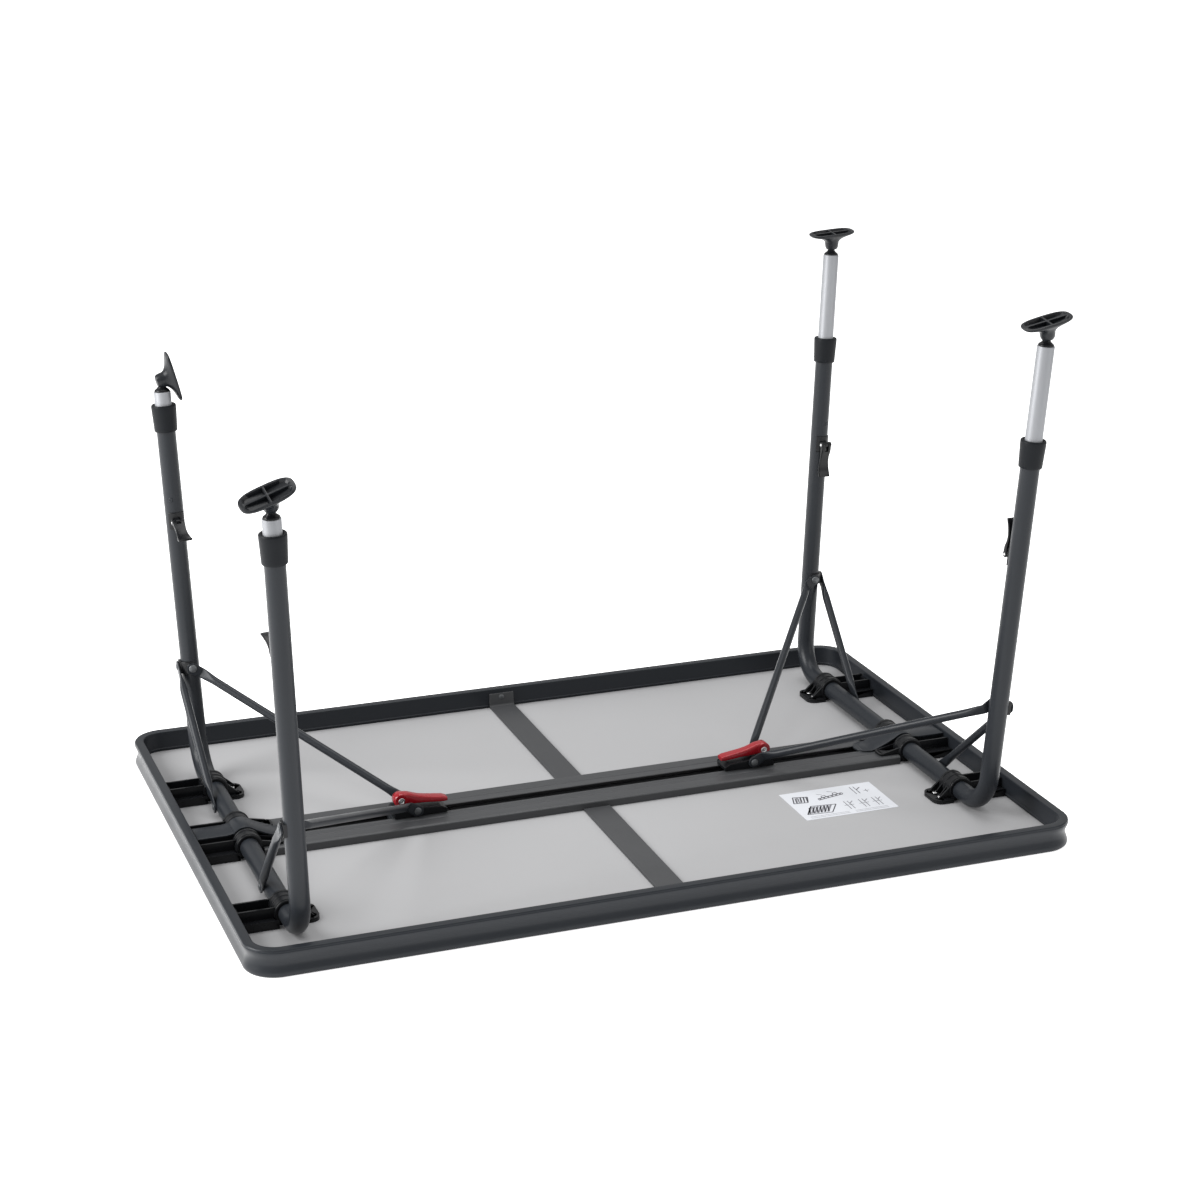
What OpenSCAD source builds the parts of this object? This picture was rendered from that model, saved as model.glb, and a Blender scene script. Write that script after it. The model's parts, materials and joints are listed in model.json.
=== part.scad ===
// Folding camping table, standing on its tabletop with both leg frames raised.
// +X runs along the length, +Y across the width, +Z up, away from the tabletop's use face.
// The origin is the centre of the use face, which is the plane z = 0.

/* [Tabletop] */
// Length of the tabletop
top_l = 1000; // [900:10:1200]
// Width of the tabletop
top_w = 680; // [640:10:760]
// Height of the frame extrusion
frame_h = 32; // [30:1:38]
// Outer corner radius of the frame
corner_r = 38; // [24:1:60]
// Thickness of the panel
panel_t = 6; // [4:0.5:6]

/* [Leg frames] */
// Distance of each hinge tube from the middle of the table
hinge_x = 430; // [415:1:430]
// Outer diameter of the leg tubes
leg_d = 23; // [21:0.5:23]
// Half the distance between the two legs of a frame, at the hinge tube
leg_half = 262; // [256:1:264]
// Sideways shift of each frame, so that the folded legs lie side by side
leg_shift = 26; // [22:1:28]
// Bend radius of the leg tubes, at their centre line
bend_r = 45; // [40:1:48]
// Outward splay of the legs
splay = 2.3; // [0:0.1:3]
// Lean of the left frame past upright
lean_left = 2.2; // [0:0.1:4]
// Lean of the right frame past upright
lean_right = 3.4; // [0:0.1:4]
// Distance along a leg from the hinge tube to the end of its outer tube
leg_top = 446; // [438:1:450]

/* [Telescopes and feet] */
// Outer diameter of the inner tubes
inner_d = 20.4; // [18:0.1:20.4]
// Distance along a leg to the end of a pushed-in inner tube
inner_top = 481; // [478:1:484]
// How far the left inner tubes are pulled out
draw_left = 0; // [0:1:80]
// How far the right inner tubes are pulled out
draw_right = 95; // [0:1:100]
// Length of a foot
foot_l = 62; // [56:1:66]
// Width of a foot
foot_w = 30; // [26:1:34]

/* [Struts] */
// Distance along a leg to the strut pivot
pivot_s = 132; // [126:1:136]
// Length of a long strut, seen from the side
strut_reach = 250; // [244:1:252]
// Diameter of the strut tubes
strut_d = 10; // [8:0.5:10]

/* [Rail and sliders] */
// Width of the centre rail
rail_w = 87; // [80:1:92]
// Width of the slot in the rail
slot_w = 18; // [16:1:20]
// Height of the strut pivots on the sliders
slide_z = 25; // [25:0.5:27]

/* [Hidden] */
$fn = 48;
LEFT = -1;
RIGHT = 1;
FRONT = -1;
BACK = 1;

// Colours
anthracite = "#3d4043";
black = "#1b1c1e";
panel_grey = "#bab8b4";
silver = "#c4c6c9";
steel = "#a9abad";
red = "#b02a35";
white = "#f1f1f1";

// Frame section: distances inwards from the outer face
frame_wall = 12;
frame_rib = 13.2;
panel_inset = 7;
skin = 1.6;

// Hinges
floor_z = panel_t;
hinge_z = 19;
gap = 0.3;
saddle_r = leg_d / 2 + 4;
bracket_y = 185;
bracket_end = top_l / 2 - frame_rib - 0.3 - hinge_x;
base_top = 15;
wall_top = 27;
toe_l = 36;
toe_t = 5;
centre_toe = 42;
screw_r = 2.2;
screw_y = 7;

// Rail
rail_top = 16.5;
rail_wall = 1.6;
rail_half = hinge_x - 17;
guide_y = 21;
strap_w = 33;
strap_t = 1.8;
strap_lift = 0.1;
bar_w = 34;
bar_t = 3;
tab_h = 20;
tab_t = 2;
rivet_r = 2;

// Legs
leg_r = leg_d / 2;
leg_wall = leg_r - inner_d / 2 - gap;
collar_low = leg_top - 14;
collar_high = leg_top + 19;
turn_deg = 90 - splay;
bend_y = leg_half - bend_r * tan(turn_deg / 2);
bend_lap = 0.5;
bend_thin = 0.05;
clamp_r = 14;
clamp_h = 16;
clamp_wrap = 4;
eye_t = 2.5;
eye_r = 7.5;
flat_l = 14;
flat_half = 5.5;
cone_l = 16;
cone_tip = 1.1;
eye_gap = 0.4;
pin_r = 3;
fit = 0.05;
brace_y = 121;
rivet_sink = 2;

// Telescopes and feet
inner_l = 345;
inner_wall = 1.2;
ball_r = 6;
neck_r = 4;
ball_up = 13.5;
sole_up = 17;
hub_r = 9;
cheek_r = 7.4;
cheek_top = 3.5;

// Leg cams
cam_s = 321;
cam_out = 17;
cam_r = 4;
cam_pin_r = 1.8;
cam_w = 15;
cam_tail = 44;
tail_half = 8.8;
lug_half = 2.5;
lug_r = 3.6;
pad_r = 12.7;
pad_h = 22;
pad_deg = 50;
cam_open = 72;

// Sliders: distances from the strut pivot, inwards positive
slider_half = 14.5;
lever_back = 17;
lever_z = 36;
lever_r = 9;
lever_half = 7;
lever_pin_r = 4;
stud_r = 3;

// Rest angles of the feet: tilt about the crossways axis, and roll towards the front
foot_tilt = [[18, -78], [-15.4, -6.8]];
foot_roll = [[-26, 0], [-7, 7]];
// How far each cam housing is turned round its leg
cam_turn = [[0, 0], [-8, 8]];

function side_index(side) = side == LEFT ? 0 : 1;
function leg_index(fb) = fb == FRONT ? 0 : 1;
function pick(table, side, fb) = table[side_index(side)][leg_index(fb)];
function lean(side) = side == LEFT ? lean_left : lean_right;
function draw_out(side) = side == LEFT ? draw_left : draw_right;
function cam_rest(side) = side == LEFT ? cam_open : 0;

// Strut pivot on the leg and on the slider, as distances from the middle of the table
function pivot_x(side) = hinge_x + pivot_s * cos(splay) * sin(lean(side));
function pivot_z(side) = hinge_z + pivot_s * cos(splay) * cos(lean(side));
function slide_x(side) = pivot_x(side) - sqrt(pow(strut_reach, 2) - pow(pivot_z(side) - slide_z, 2));

// Places a child, modelled for the right-hand end with its outer side at +X, at either end
module at_end(side) {
    mirror([side == LEFT ? 1 : 0, 0, 0])
        children();
}

// The frame of one leg frame: hinge tube along Y at the origin, legs along +Z
module at_hinge(side) {
    translate([0, side * leg_shift, 0])
        at_end(side)
            translate([hinge_x, 0, hinge_z])
                rotate([0, lean(side), 0])
                    children();
}

// The frame of one leg: its axis along +Z, the inner side of the leg frame at -Y
module at_leg(side, fb) {
    at_hinge(side)
        mirror([0, fb == FRONT ? 1 : 0, 0])
            translate([0, leg_half, 0])
                rotate([-splay, 0, 0])
                    children();
}

// Slider frame: strut pivot at the origin's height, inwards at +X
module at_slider(side) {
    at_end(side)
        translate([slide_x(side), 0, 0])
            mirror([1, 0, 0])
                children();
}

module rod_y(r, length) {
    rotate([90, 0, 0])
        cylinder(r = r, h = length, center = true);
}

module rod_x(r, length) {
    rotate([0, 90, 0])
        cylinder(r = r, h = length, center = true);
}

module ring_2d(r, wall) {
    difference() {
        circle(r = r);
        circle(r = r - wall);
    }
}

module round_rect(l, w, r) {
    square([l - 2 * r, w], center = true);
    square([l, w - 2 * r], center = true);
    for (x = [-1, 1], y = [-1, 1])
        translate([x * (l / 2 - r), y * (w / 2 - r)])
            circle(r = r, $fn = 64);
}

// Plate in the XZ plane, w thick along Y
module side_plate(points, w) {
    rotate([90, 0, 0])
        linear_extrude(w, center = true)
            polygon(points);
}

// ---- Tabletop ----

// Section of the frame: x inwards from the outer face, y up from the use face
module frame_section() {
    h = frame_h;
    difference() {
        polygon([
            [panel_inset, 0], [panel_inset, panel_t], [frame_wall, panel_t],
            [frame_wall, 7.7], [frame_rib, 8.2], [frame_rib, 9.6], [frame_wall, 10.2],
            [frame_wall, h - 1], [frame_wall - 1, h], [1.6, h], [0.4, h - 1.8], [0, h - 4.6],
            [1, h - 8], [2.8, h - 11.2], [3.2, h - 13], [3.2, 12.4], [2.8, 10.8], [1, 7.8],
            [0, 5], [0.4, 1.8], [1.6, 0]
        ]);
        polygon([
            [5, 9], [frame_wall - skin, 9], [frame_wall - skin, h - skin], [2, h - skin],
            [skin, h - 5], [3.4, h - 9], [5, h - 12]
        ]);
    }
}

module frame_edge(length) {
    rotate([90, 0, 90])
        linear_extrude(length)
            frame_section();
}

module frame_corner() {
    rotate([0, 0, -90])
        rotate_extrude(angle = 90, $fn = 64)
            translate([corner_r, 0])
                mirror([1, 0])
                    frame_section();
}

// One bent half of the frame, joined to the other at the middle of the long sides
module frame_half(side) {
    color(anthracite)
    at_end(side) {
        translate([0, -top_w / 2, 0])
            frame_edge(top_l / 2 - corner_r);
        translate([top_l / 2, corner_r - top_w / 2, 0])
            rotate([0, 0, 90])
                frame_edge(top_w - 2 * corner_r);
        translate([top_l / 2 - corner_r, top_w / 2, 0])
            rotate([0, 0, 180])
                frame_edge(top_l / 2 - corner_r);
        translate([top_l / 2 - corner_r, corner_r - top_w / 2, 0])
            frame_corner();
        translate([top_l / 2 - corner_r, top_w / 2 - corner_r, 0])
            rotate([0, 0, 90])
                frame_corner();
    }
}

module tabletop_panel() {
    color(panel_grey)
        linear_extrude(panel_t)
            round_rect(top_l - 2 * panel_inset, top_w - 2 * panel_inset, corner_r - panel_inset);
}

// Flat bar across the panel from the rail to the frame, with a tab up the frame's wall
module cross_bar(fb) {
    y0 = rail_w / 2;
    y1 = top_w / 2 - frame_rib;
    y2 = top_w / 2 - frame_wall;
    tab_top = floor_z + tab_h;
    color("#6b6d70")
    mirror([0, fb == FRONT ? 1 : 0, 0])
        difference() {
            rotate([90, 0, 90])
                linear_extrude(bar_w, center = true)
                    polygon([
                        [y0, floor_z], [y1, floor_z], [y1, 11], [y2, 11], [y2, tab_top],
                        [y2 - tab_t, tab_top], [y2 - tab_t, 14], [y1 - tab_t, 12],
                        [y1 - tab_t, floor_z + bar_t], [y0, floor_z + bar_t]
                    ]);
            translate([0, y2, floor_z + 14])
                rod_y(rivet_r, 8 * tab_t);
        }
}

module bar_rivets() {
    y2 = top_w / 2 - frame_wall;
    color(steel)
    for (fb = [FRONT, BACK])
        translate([0, fb * (y2 - tab_t / 2), floor_z + 14]) {
            rod_y(rivet_r, tab_t);
            translate([0, -fb * (tab_t / 2 + 0.8), 0])
                rod_y(2 * rivet_r, 1.6);
        }
}

// Slotted channel that the sliders run in
module centre_rail() {
    h = rail_top - floor_z;
    color(anthracite)
        rotate([90, 0, 90])
            linear_extrude(2 * rail_half, center = true)
                difference() {
                    translate([-rail_w / 2, floor_z])
                        square([rail_w, h]);
                    translate([-guide_y, floor_z + rail_wall])
                        square([2 * guide_y, h - 2 * rail_wall]);
                    translate([-slot_w / 2, floor_z + rail_wall])
                        square([slot_w, h]);
                    for (s = [-1, 1])
                        translate([s * (rail_w / 4 + guide_y / 2), floor_z + h / 2])
                            square([rail_w / 2 - guide_y - 2 * rail_wall, h - 2 * rail_wall],
                                   center = true);
                }
}

module instruction_label() {
    color(white)
        translate([226, -167, panel_t])
            linear_extrude(0.25)
                square([123, 84]);
}

// ---- Hinges ----

// Bracket that holds the hinge tube: a trough from the frame wall, a saddle and a toe plate,
// which starts at height toe_z[0] and is toe_z[1] thick
module bracket_shape(base_half, wall_half, saddle_half, toe_half, toe_len, toe_z, rings, screws) {
    wall_t = 2.5;
    toe_r = 12;
    difference() {
        union() {
            translate([0, -base_half, floor_z])
                cube([bracket_end, 2 * base_half, base_top - floor_z]);
            for (s = [-1, 1])
                translate([0, s * (wall_half - wall_t / 2) - wall_t / 2, floor_z])
                    cube([bracket_end, wall_t, wall_top - floor_z]);
            translate([0, 0, hinge_z])
                rod_y(saddle_r, 2 * saddle_half);
            for (y = rings)
                translate([0, y, hinge_z])
                    rod_y(saddle_r + 1.2, 4);
            translate([-toe_len + toe_r, -toe_half, toe_z[0]])
                cube([toe_len - toe_r, 2 * toe_half, toe_z[1]]);
            translate([-toe_len, -toe_half + toe_r, toe_z[0]])
                cube([toe_r, 2 * (toe_half - toe_r), toe_z[1]]);
            for (s = [-1, 1])
                translate([-toe_len + toe_r, s * (toe_half - toe_r), toe_z[0]])
                    cylinder(r = toe_r, h = toe_z[1]);
            for (s = [-1, 1])
                translate([0, s * (saddle_half - 2), 0])
                    side_plate([
                        [0, floor_z], [0, wall_top], [-11, wall_top - 1],
                        [-toe_len + 6, toe_z[0] + toe_z[1]], [-toe_len + 6, toe_z[0]],
                        [-saddle_r - 1, toe_z[0]], [1 - saddle_r, floor_z]
                    ], 3);
        }
        translate([saddle_r - 1, -wall_half + wall_t, floor_z + 2])
            cube([bracket_end - saddle_r - 1.5, 2 * (wall_half - wall_t), frame_h]);
        translate([0, 0, hinge_z])
            rod_y(leg_r + gap, 4 * base_half + 4 * saddle_half);
        translate([-saddle_r - 2, -2 * base_half, -frame_h])
            cube([2 * saddle_r + 4, 4 * base_half, frame_h + floor_z]);
        for (y = screws)
            translate([-toe_len + 12, y, 0])
                cylinder(r = screw_r, h = frame_h);
    }
}

module outer_bracket(side, fb) {
    color(black)
    translate([0, side * leg_shift, 0])
        at_end(side)
            translate([hinge_x, fb * bracket_y, 0])
                bracket_shape(24, 13, 15, 21, toe_l, [floor_z, toe_t], [-12, 0, 12], [-screw_y, screw_y]);
}

// The middle bracket is as wide as the rail and carries the strap
module centre_bracket(side) {
    lift = 1.6;
    color(black)
    at_end(side)
        translate([hinge_x, 0, 0])
            difference() {
                union() {
                    difference() {
                        bracket_shape(rail_w / 2, 30, 38, 36, centre_toe, [rail_top, 2.6], [-36, -25, 25, 36], []);
                        // the middle is cut back to carry the strap
                        translate([-centre_toe - 1, -strap_w / 2 - 1, wall_top - 11])
                            cube([centre_toe - saddle_r + 8, strap_w + 2, 20]);
                    }
                    for (s = [-1, 1])
                        translate([saddle_r - 2, s * 12 - lift, floor_z + 1])
                            cube([bracket_end - saddle_r + 2, 2 * lift, wall_top - floor_z - 1]);
                }
                translate([0, 0, hinge_z])
                    rod_y(leg_r + gap, 4 * rail_w);
            }
}

// Steel strap from the frame wall, over the middle bracket, to the end of the rail
function strap_edge(d) = concat(
    [[bracket_end, wall_top + d]],
    [for (i = [0:8])
        let(a = 31 + i * (115 - 31) / 8)
        [(saddle_r + strap_lift + d) * cos(a), hinge_z + (saddle_r + strap_lift + d) * sin(a)]],
    [[-centre_toe, rail_top + d], [-centre_toe - 4, rail_top + d]]
);

module hinge_straps() {
    under = strap_edge(0);
    over = strap_edge(strap_t);
    n = len(over);
    color("#55585b")
    for (side = [LEFT, RIGHT])
        at_end(side)
            translate([hinge_x, 0, 0]) {
                side_plate(concat(under, [for (i = [0:n - 1]) over[n - 1 - i]]), strap_w);
                translate([-centre_toe - 4, 0, rail_top])
                    difference() {
                        cylinder(r = strap_w / 2, h = strap_t);
                        translate([0, -strap_w, -1])
                            cube([strap_w, 2 * strap_w, strap_t + 2]);
                    }
            }
}

module screw(head_z, shank) {
    translate([0, 0, head_z])
        cylinder(r = 4, h = 2.2);
    translate([0, 0, head_z - shank])
        cylinder(r = screw_r, h = shank);
}

module bracket_screws() {
    toes = [[toe_l, bracket_y], [toe_l, -bracket_y]];
    color(steel)
    for (side = [LEFT, RIGHT])
        at_end(side)
            translate([hinge_x, 0, 0])
                for (t = toes, s = [-1, 1])
                    translate([12 - t[0], side * leg_shift + t[1] + s * screw_y, 0])
                        screw(floor_z + toe_t, toe_t);
}

// ---- Leg frames ----

// U-shaped rod: hinge tube, two bends and two straight legs, run on past the top by extra.
// The bends are drawn a little thinner, and the straight parts reach into them.
module leg_path(r, extra) {
    bend_run = bend_r * tan(turn_deg / 2);
    rod_y(r, 2 * (bend_y + bend_lap));
    for (fb = [FRONT, BACK])
        mirror([0, fb == FRONT ? 1 : 0, 0]) {
            translate([0, bend_y, bend_r])
                rotate([0, 90, 0])
                    rotate_extrude(angle = turn_deg)
                        translate([bend_r, 0])
                            circle(r = r - bend_thin);
            translate([0, leg_half, 0])
                rotate([-splay, 0, 0])
                    translate([0, 0, bend_run - bend_lap])
                        cylinder(r = r, h = leg_top - bend_run + bend_lap + extra);
        }
}

module leg_tube(side) {
    color(anthracite)
    at_hinge(side)
        difference() {
            leg_path(leg_r, 0);
            leg_path(leg_r - leg_wall, 1);
            for (y = [-brace_y, brace_y])
                translate([leg_r, y, 0])
                    rod_x(rivet_r, 2 * rivet_sink);
        }
}

// Sleeve over the mouth of each leg
module leg_collars(side) {
    color(black)
    for (fb = [FRONT, BACK])
        at_leg(side, fb)
            difference() {
                union() {
                    translate([0, 0, collar_low])
                        cylinder(r1 = 14.2, r2 = 15.4, h = collar_high - collar_low - 3);
                    translate([0, 0, collar_high - 3])
                        cylinder(r1 = 15.4, r2 = 14.2, h = 3);
                }
                translate([0, 0, collar_low - 1])
                    cylinder(r = leg_r, h = leg_top - collar_low + 1);
                cylinder(r = inner_d / 2 + gap, h = collar_high + 1);
            }
}

// Saddle on the inner and outer quarters of each leg, which carries both struts
module strut_clamps(side) {
    color(black)
    for (fb = [FRONT, BACK])
        at_leg(side, fb)
            difference() {
                union() {
                    intersection() {
                        translate([0, 0, pivot_s - clamp_h / 2])
                            cylinder(r = clamp_r, h = clamp_h);
                        translate([-clamp_wrap, -2 * clamp_r, 0])
                            cube([3 * clamp_r, 2 * clamp_r + clamp_wrap, leg_top]);
                    }
                    translate([clamp_r / 2, 0, pivot_s])
                        cube([clamp_r, 14, clamp_h], center = true);
                }
                cylinder(r = leg_r, h = leg_top);
                translate([0, -clamp_r, pivot_s])
                    rod_y(pin_r, 2 * (clamp_r - leg_r));
                translate([clamp_r, 0, pivot_s])
                    rod_x(rivet_r, clamp_r);
            }
}

// Flattened ends of a strut meet its tube in cones
module strut_rod(a, b) {
    run = b - a;
    len = norm(run);
    translate(a)
        rotate([0, acos(run.z / len), atan2(run.y, run.x)]) {
            cylinder(r1 = cone_tip, r2 = strut_d / 2, h = cone_l);
            translate([0, 0, cone_l])
                cylinder(r = strut_d / 2, h = len - 2 * cone_l);
            translate([0, 0, len - cone_l])
                cylinder(r1 = strut_d / 2, r2 = cone_tip, h = cone_l);
        }
}

// Flat end with a round eye, in the XZ plane: eye at the origin, tube towards the given angle
module flat_end(turn) {
    rod_y(eye_r, eye_t);
    rotate([0, -turn, 0])
        translate([flat_l / 2, 0, 0])
            cube([flat_l, eye_t, 2 * flat_half], center = true);
}

// Bracing strut from the clamp down to the hinge tube
function brace_top() = [clamp_r + eye_t / 2, leg_half + pivot_s * sin(splay), pivot_s * cos(splay)];
function brace_foot() = [leg_r + eye_t / 2, brace_y, 0];

module short_strut() {
    top = brace_top();
    foot = brace_foot();
    run = foot - top;
    level = [0, run.y, run.z] / norm([run.y, run.z]);
    turn = atan2(run.z, run.y);
    difference() {
        union() {
            strut_rod(top + (flat_l - 2) * level, foot - (flat_l - 2) * level);
            translate(top)
                rotate([0, 0, 90])
                    flat_end(turn);
            translate(foot)
                rotate([0, 0, 90])
                    flat_end(turn + 180);
        }
        for (p = [top, foot])
            translate(p)
                rod_x(rivet_r, 4 * eye_t);
    }
}

module short_struts(side) {
    color(anthracite)
    at_hinge(side)
        for (fb = [FRONT, BACK])
            mirror([0, fb == FRONT ? 1 : 0, 0])
                short_strut();
}

// Rivets of both kinds of strut, on the leg frame
module strut_rivets(side) {
    color(steel)
    at_hinge(side)
        for (fb = [FRONT, BACK])
            mirror([0, fb == FRONT ? 1 : 0, 0]) {
                for (p = [brace_top(), brace_foot()])
                    translate(p) {
                        translate([-rivet_sink / 2, 0, 0])
                            rod_x(rivet_r, eye_t + rivet_sink);
                        translate([eye_t / 2 + 0.8, 0, 0])
                            rod_x(2 * rivet_r, 1.6);
                    }
                // pivot pin of the long strut
                translate([0, leg_half, 0])
                    rotate([-splay, 0, 0])
                        translate([0, 0, pivot_s])
                            rotate([splay, 0, 0]) {
                                translate([0, -(clamp_r + eye_t + 2 * eye_gap + leg_r) / 2 - 0.5, 0])
                                    rod_y(pin_r, clamp_r + eye_t + 2 * eye_gap - leg_r - 1);
                                translate([0, -clamp_r - eye_t - 2 * eye_gap - 1, 0])
                                    rod_y(5, 2);
                            }
            }
}

// Pad on one side of each leg, with the lug that carries the lever's pin
module cam_housings(side) {
    color(black)
    for (fb = [FRONT, BACK])
        at_leg(side, fb)
            rotate([0, 0, pick(cam_turn, side, fb)])
                translate([0, 0, cam_s])
                    difference() {
                        union() {
                            rotate([0, 0, -90 - pad_deg])
                                rotate_extrude(angle = 2 * pad_deg)
                                    translate([leg_r, -pad_h / 2])
                                        square([pad_r - leg_r, pad_h]);
                            rotate([0, 90, 0])
                                linear_extrude(2 * lug_half, center = true) {
                                    translate([-lug_r, -cam_out])
                                        square([2 * lug_r, cam_out - leg_r + 1]);
                                    translate([0, -cam_out])
                                        circle(r = lug_r);
                                }
                        }
                        cylinder(r = leg_r, h = 2 * pad_h, center = true);
                        translate([0, -cam_out, 0])
                            rod_x(cam_pin_r, 2 * cam_w);
                    }
}

module cam_pins(side) {
    color(silver)
    for (fb = [FRONT, BACK])
        at_leg(side, fb)
            rotate([0, 0, pick(cam_turn, side, fb)])
                translate([0, -cam_out, cam_s])
                    rod_x(cam_pin_r, cam_w + 1);
}

// ---- Telescopes and feet ----

module inner_tube(side, fb) {
    color(silver)
    at_leg(side, fb)
        translate([0, 0, inner_top + draw_out(side) - inner_l])
            linear_extrude(inner_l)
                ring_2d(inner_d / 2, inner_wall);
}

// Plug in the end of the inner tube, with the ball that the foot turns on
module foot_stud(side, fb) {
    plug_l = 15;
    color(black)
    at_leg(side, fb)
        translate([0, 0, inner_top + draw_out(side)]) {
            translate([0, 0, -plug_l])
                cylinder(r = inner_d / 2 - inner_wall, h = plug_l);
            cylinder(r = inner_d / 2 - 1, h = 2);
            translate([0, 0, 2])
                cylinder(r1 = 8.4, r2 = neck_r, h = 4);
            translate([0, 0, 2])
                cylinder(r = neck_r, h = ball_up - 2);
            translate([0, 0, ball_up])
                sphere(r = ball_r);
        }
}

module sole_2d(l, w) {
    hull()
        for (s = [-1, 1])
            translate([s * (l / 2 - w * 0.42), 0])
                scale([0.84, 1])
                    circle(r = w / 2, $fn = 32);
}

// Boat-shaped foot around the ball, sole up
module foot_solid() {
    flare_z = 5;
    rim_z = sole_up - 3;
    difference() {
        union() {
            translate([0, 0, -cheek_r])
                cylinder(r = hub_r, h = flare_z + 1 + cheek_r);
            hull() {
                translate([0, 0, flare_z])
                    cylinder(r = hub_r, h = 1, $fn = 32);
                translate([0, 0, rim_z - 3])
                    linear_extrude(1)
                        sole_2d(0.56 * foot_l, 0.8 * foot_w);
            }
            hull() {
                translate([0, 0, rim_z - 3])
                    linear_extrude(1)
                        sole_2d(0.56 * foot_l, 0.8 * foot_w);
                translate([0, 0, rim_z])
                    linear_extrude(sole_up - rim_z)
                        sole_2d(foot_l, foot_w);
            }
        }
        sphere(r = ball_r + gap);
        // four pockets in the sole, left by a long rib and a cross rib
        for (x = [-1, 1], y = [-1, 1])
            translate([x * foot_l * 0.2, y * foot_w * 0.19, sole_up - 2.4])
                linear_extrude(4)
                    square([foot_l * 0.32, foot_w * 0.28], center = true);
    }
}

module foot(side, fb) {
    slot_half = neck_r + 0.6;
    color(black)
    at_leg(side, fb)
        translate([0, 0, inner_top + draw_out(side) + ball_up])
            rotate([0, pick(foot_tilt, side, fb), 0])
                difference() {
                    rotate([pick(foot_roll, side, fb), 0, 0])
                        foot_solid();
                    // slot that the neck swings in, and the round cheeks beside it
                    translate([-foot_l, -slot_half, -foot_l])
                        cube([2 * foot_l, 2 * slot_half, foot_l + cheek_top]);
                    difference() {
                        translate([-foot_l / 2, -foot_l / 2, -foot_l])
                            cube([foot_l, foot_l, foot_l + cheek_top]);
                        rod_y(cheek_r, 2 * foot_l);
                    }
                }
}

// Cam lever of a leg, turned outwards about its pin by the rest angle
module cam_lever(side, fb) {
    up = fb == FRONT ? 1 : -1;
    color(black)
    at_leg(side, fb)
        rotate([0, 0, pick(cam_turn, side, fb)])
            translate([0, -cam_out, cam_s])
                mirror([0, 0, up > 0 ? 0 : 1])
                    rotate([cam_rest(side), 0, 0])
                        cam_lever_shape();
}

// Two cheeks round the lug, joined by a tail that widens towards its turned-up end
module cam_lever_shape() {
    reach = cam_tail + cam_out;
    difference() {
        intersection() {
            union() {
                rod_x(cam_r, cam_w);
                rotate([90, 0, 90])
                    linear_extrude(2 * tail_half, center = true)
                        polygon([
                            [-cam_r, 0], [-3.6, 8], [-1.6, 14], [0, 21], [0.6, 29], [0, 36],
                            [-3, cam_tail], [0.2, cam_tail], [3.4, 36], [4, 28], [3.6, 18],
                            [2.4, 13], [2.4, 6], [3, 2.6]
                        ]);
            }
            rotate([90, 0, 0])
                linear_extrude(2 * reach, center = true)
                    polygon([
                        [-cam_w / 2, -cam_r], [cam_w / 2, -cam_r], [cam_w / 2, 10],
                        [cam_w / 2 - 0.7, 18], [tail_half - 0.3, 36], [tail_half, cam_tail],
                        [-tail_half, cam_tail], [0.3 - tail_half, 36], [0.7 - cam_w / 2, 18],
                        [-cam_w / 2, 10]
                    ]);
        }
        rod_x(cam_pin_r + fit, 2 * cam_w);
        translate([-lug_half - gap, -reach, -2 * cam_r])
            cube([2 * (lug_half + gap), 2 * reach, 2 * cam_r + 9]);
    }
}

// ---- Long struts and sliders ----

// Pivot of the long strut on the leg, and its eye at the slider, for the right-hand end
function strut_a(side, fb) = [
    pivot_x(side),
    fb * (leg_half + pivot_s * sin(splay) - clamp_r - eye_gap - eye_t / 2) + leg_shift * (side),
    pivot_z(side)
];
function strut_b(side, fb) = [slide_x(side), fb * (slider_half + eye_gap + eye_t / 2), slide_z];

module long_strut(side, fb) {
    a = strut_a(side, fb);
    b = strut_b(side, fb);
    run = b - a;
    level = [run.x, 0, run.z] / norm([run.x, run.z]);
    turn = atan2(run.z, run.x);
    color(anthracite)
    at_end(side)
        difference() {
            union() {
                strut_rod(a + (flat_l - 2) * level, b - (flat_l - 2) * level);
                translate(a)
                    flat_end(turn);
                translate(b)
                    flat_end(turn + 180);
            }
            translate(a)
                rod_y(pin_r + fit, 4 * eye_t);
            translate(b)
                rod_y(rivet_r, 4 * eye_t);
        }
}

module strut_end_rivets(side) {
    color(steel)
    at_end(side)
        for (fb = [FRONT, BACK])
            translate(strut_b(side, fb)) {
                rod_y(rivet_r, eye_t);
                translate([0, fb * (eye_t / 2 + 0.8), 0])
                    rod_y(2.4 * rivet_r, 1.6);
            }
}

module slider_body(side) {
    low = rail_top + gap;
    deck = lever_z - lever_r - gap;
    color(black)
    at_slider(side)
        difference() {
            union() {
                side_plate([
                    [-28, low], [38.5, low], [38.5, 22], [30, 25], [8, deck],
                    [-26, deck], [-28, deck - 2]
                ], 2 * slider_half);
                for (s = [-1, 1])
                    translate([0, s * (slider_half - 2.5), slide_z])
                        rod_y(eye_r - 1, 5);
            }
            translate([-lever_back, 0, low - 1])
                cylinder(r = stud_r + 0.1, h = lever_z);
        }
}

module slider_nut(side) {
    nut_low = floor_z + rail_wall + gap;
    nut_high = rail_top - rail_wall - gap;
    color(steel)
    at_slider(side) {
        translate([-lever_back - 14, -guide_y + 1, nut_low])
            cube([46, 2 * (guide_y - 1), nut_high - nut_low]);
        translate([-lever_back - 12, -slot_w / 2 + gap, nut_low])
            cube([42, slot_w - 2 * gap, rail_top + gap - nut_low]);
        translate([-lever_back, 0, nut_low])
            cylinder(r = stud_r, h = lever_z - lever_pin_r - nut_low - 0.1);
    }
}

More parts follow.
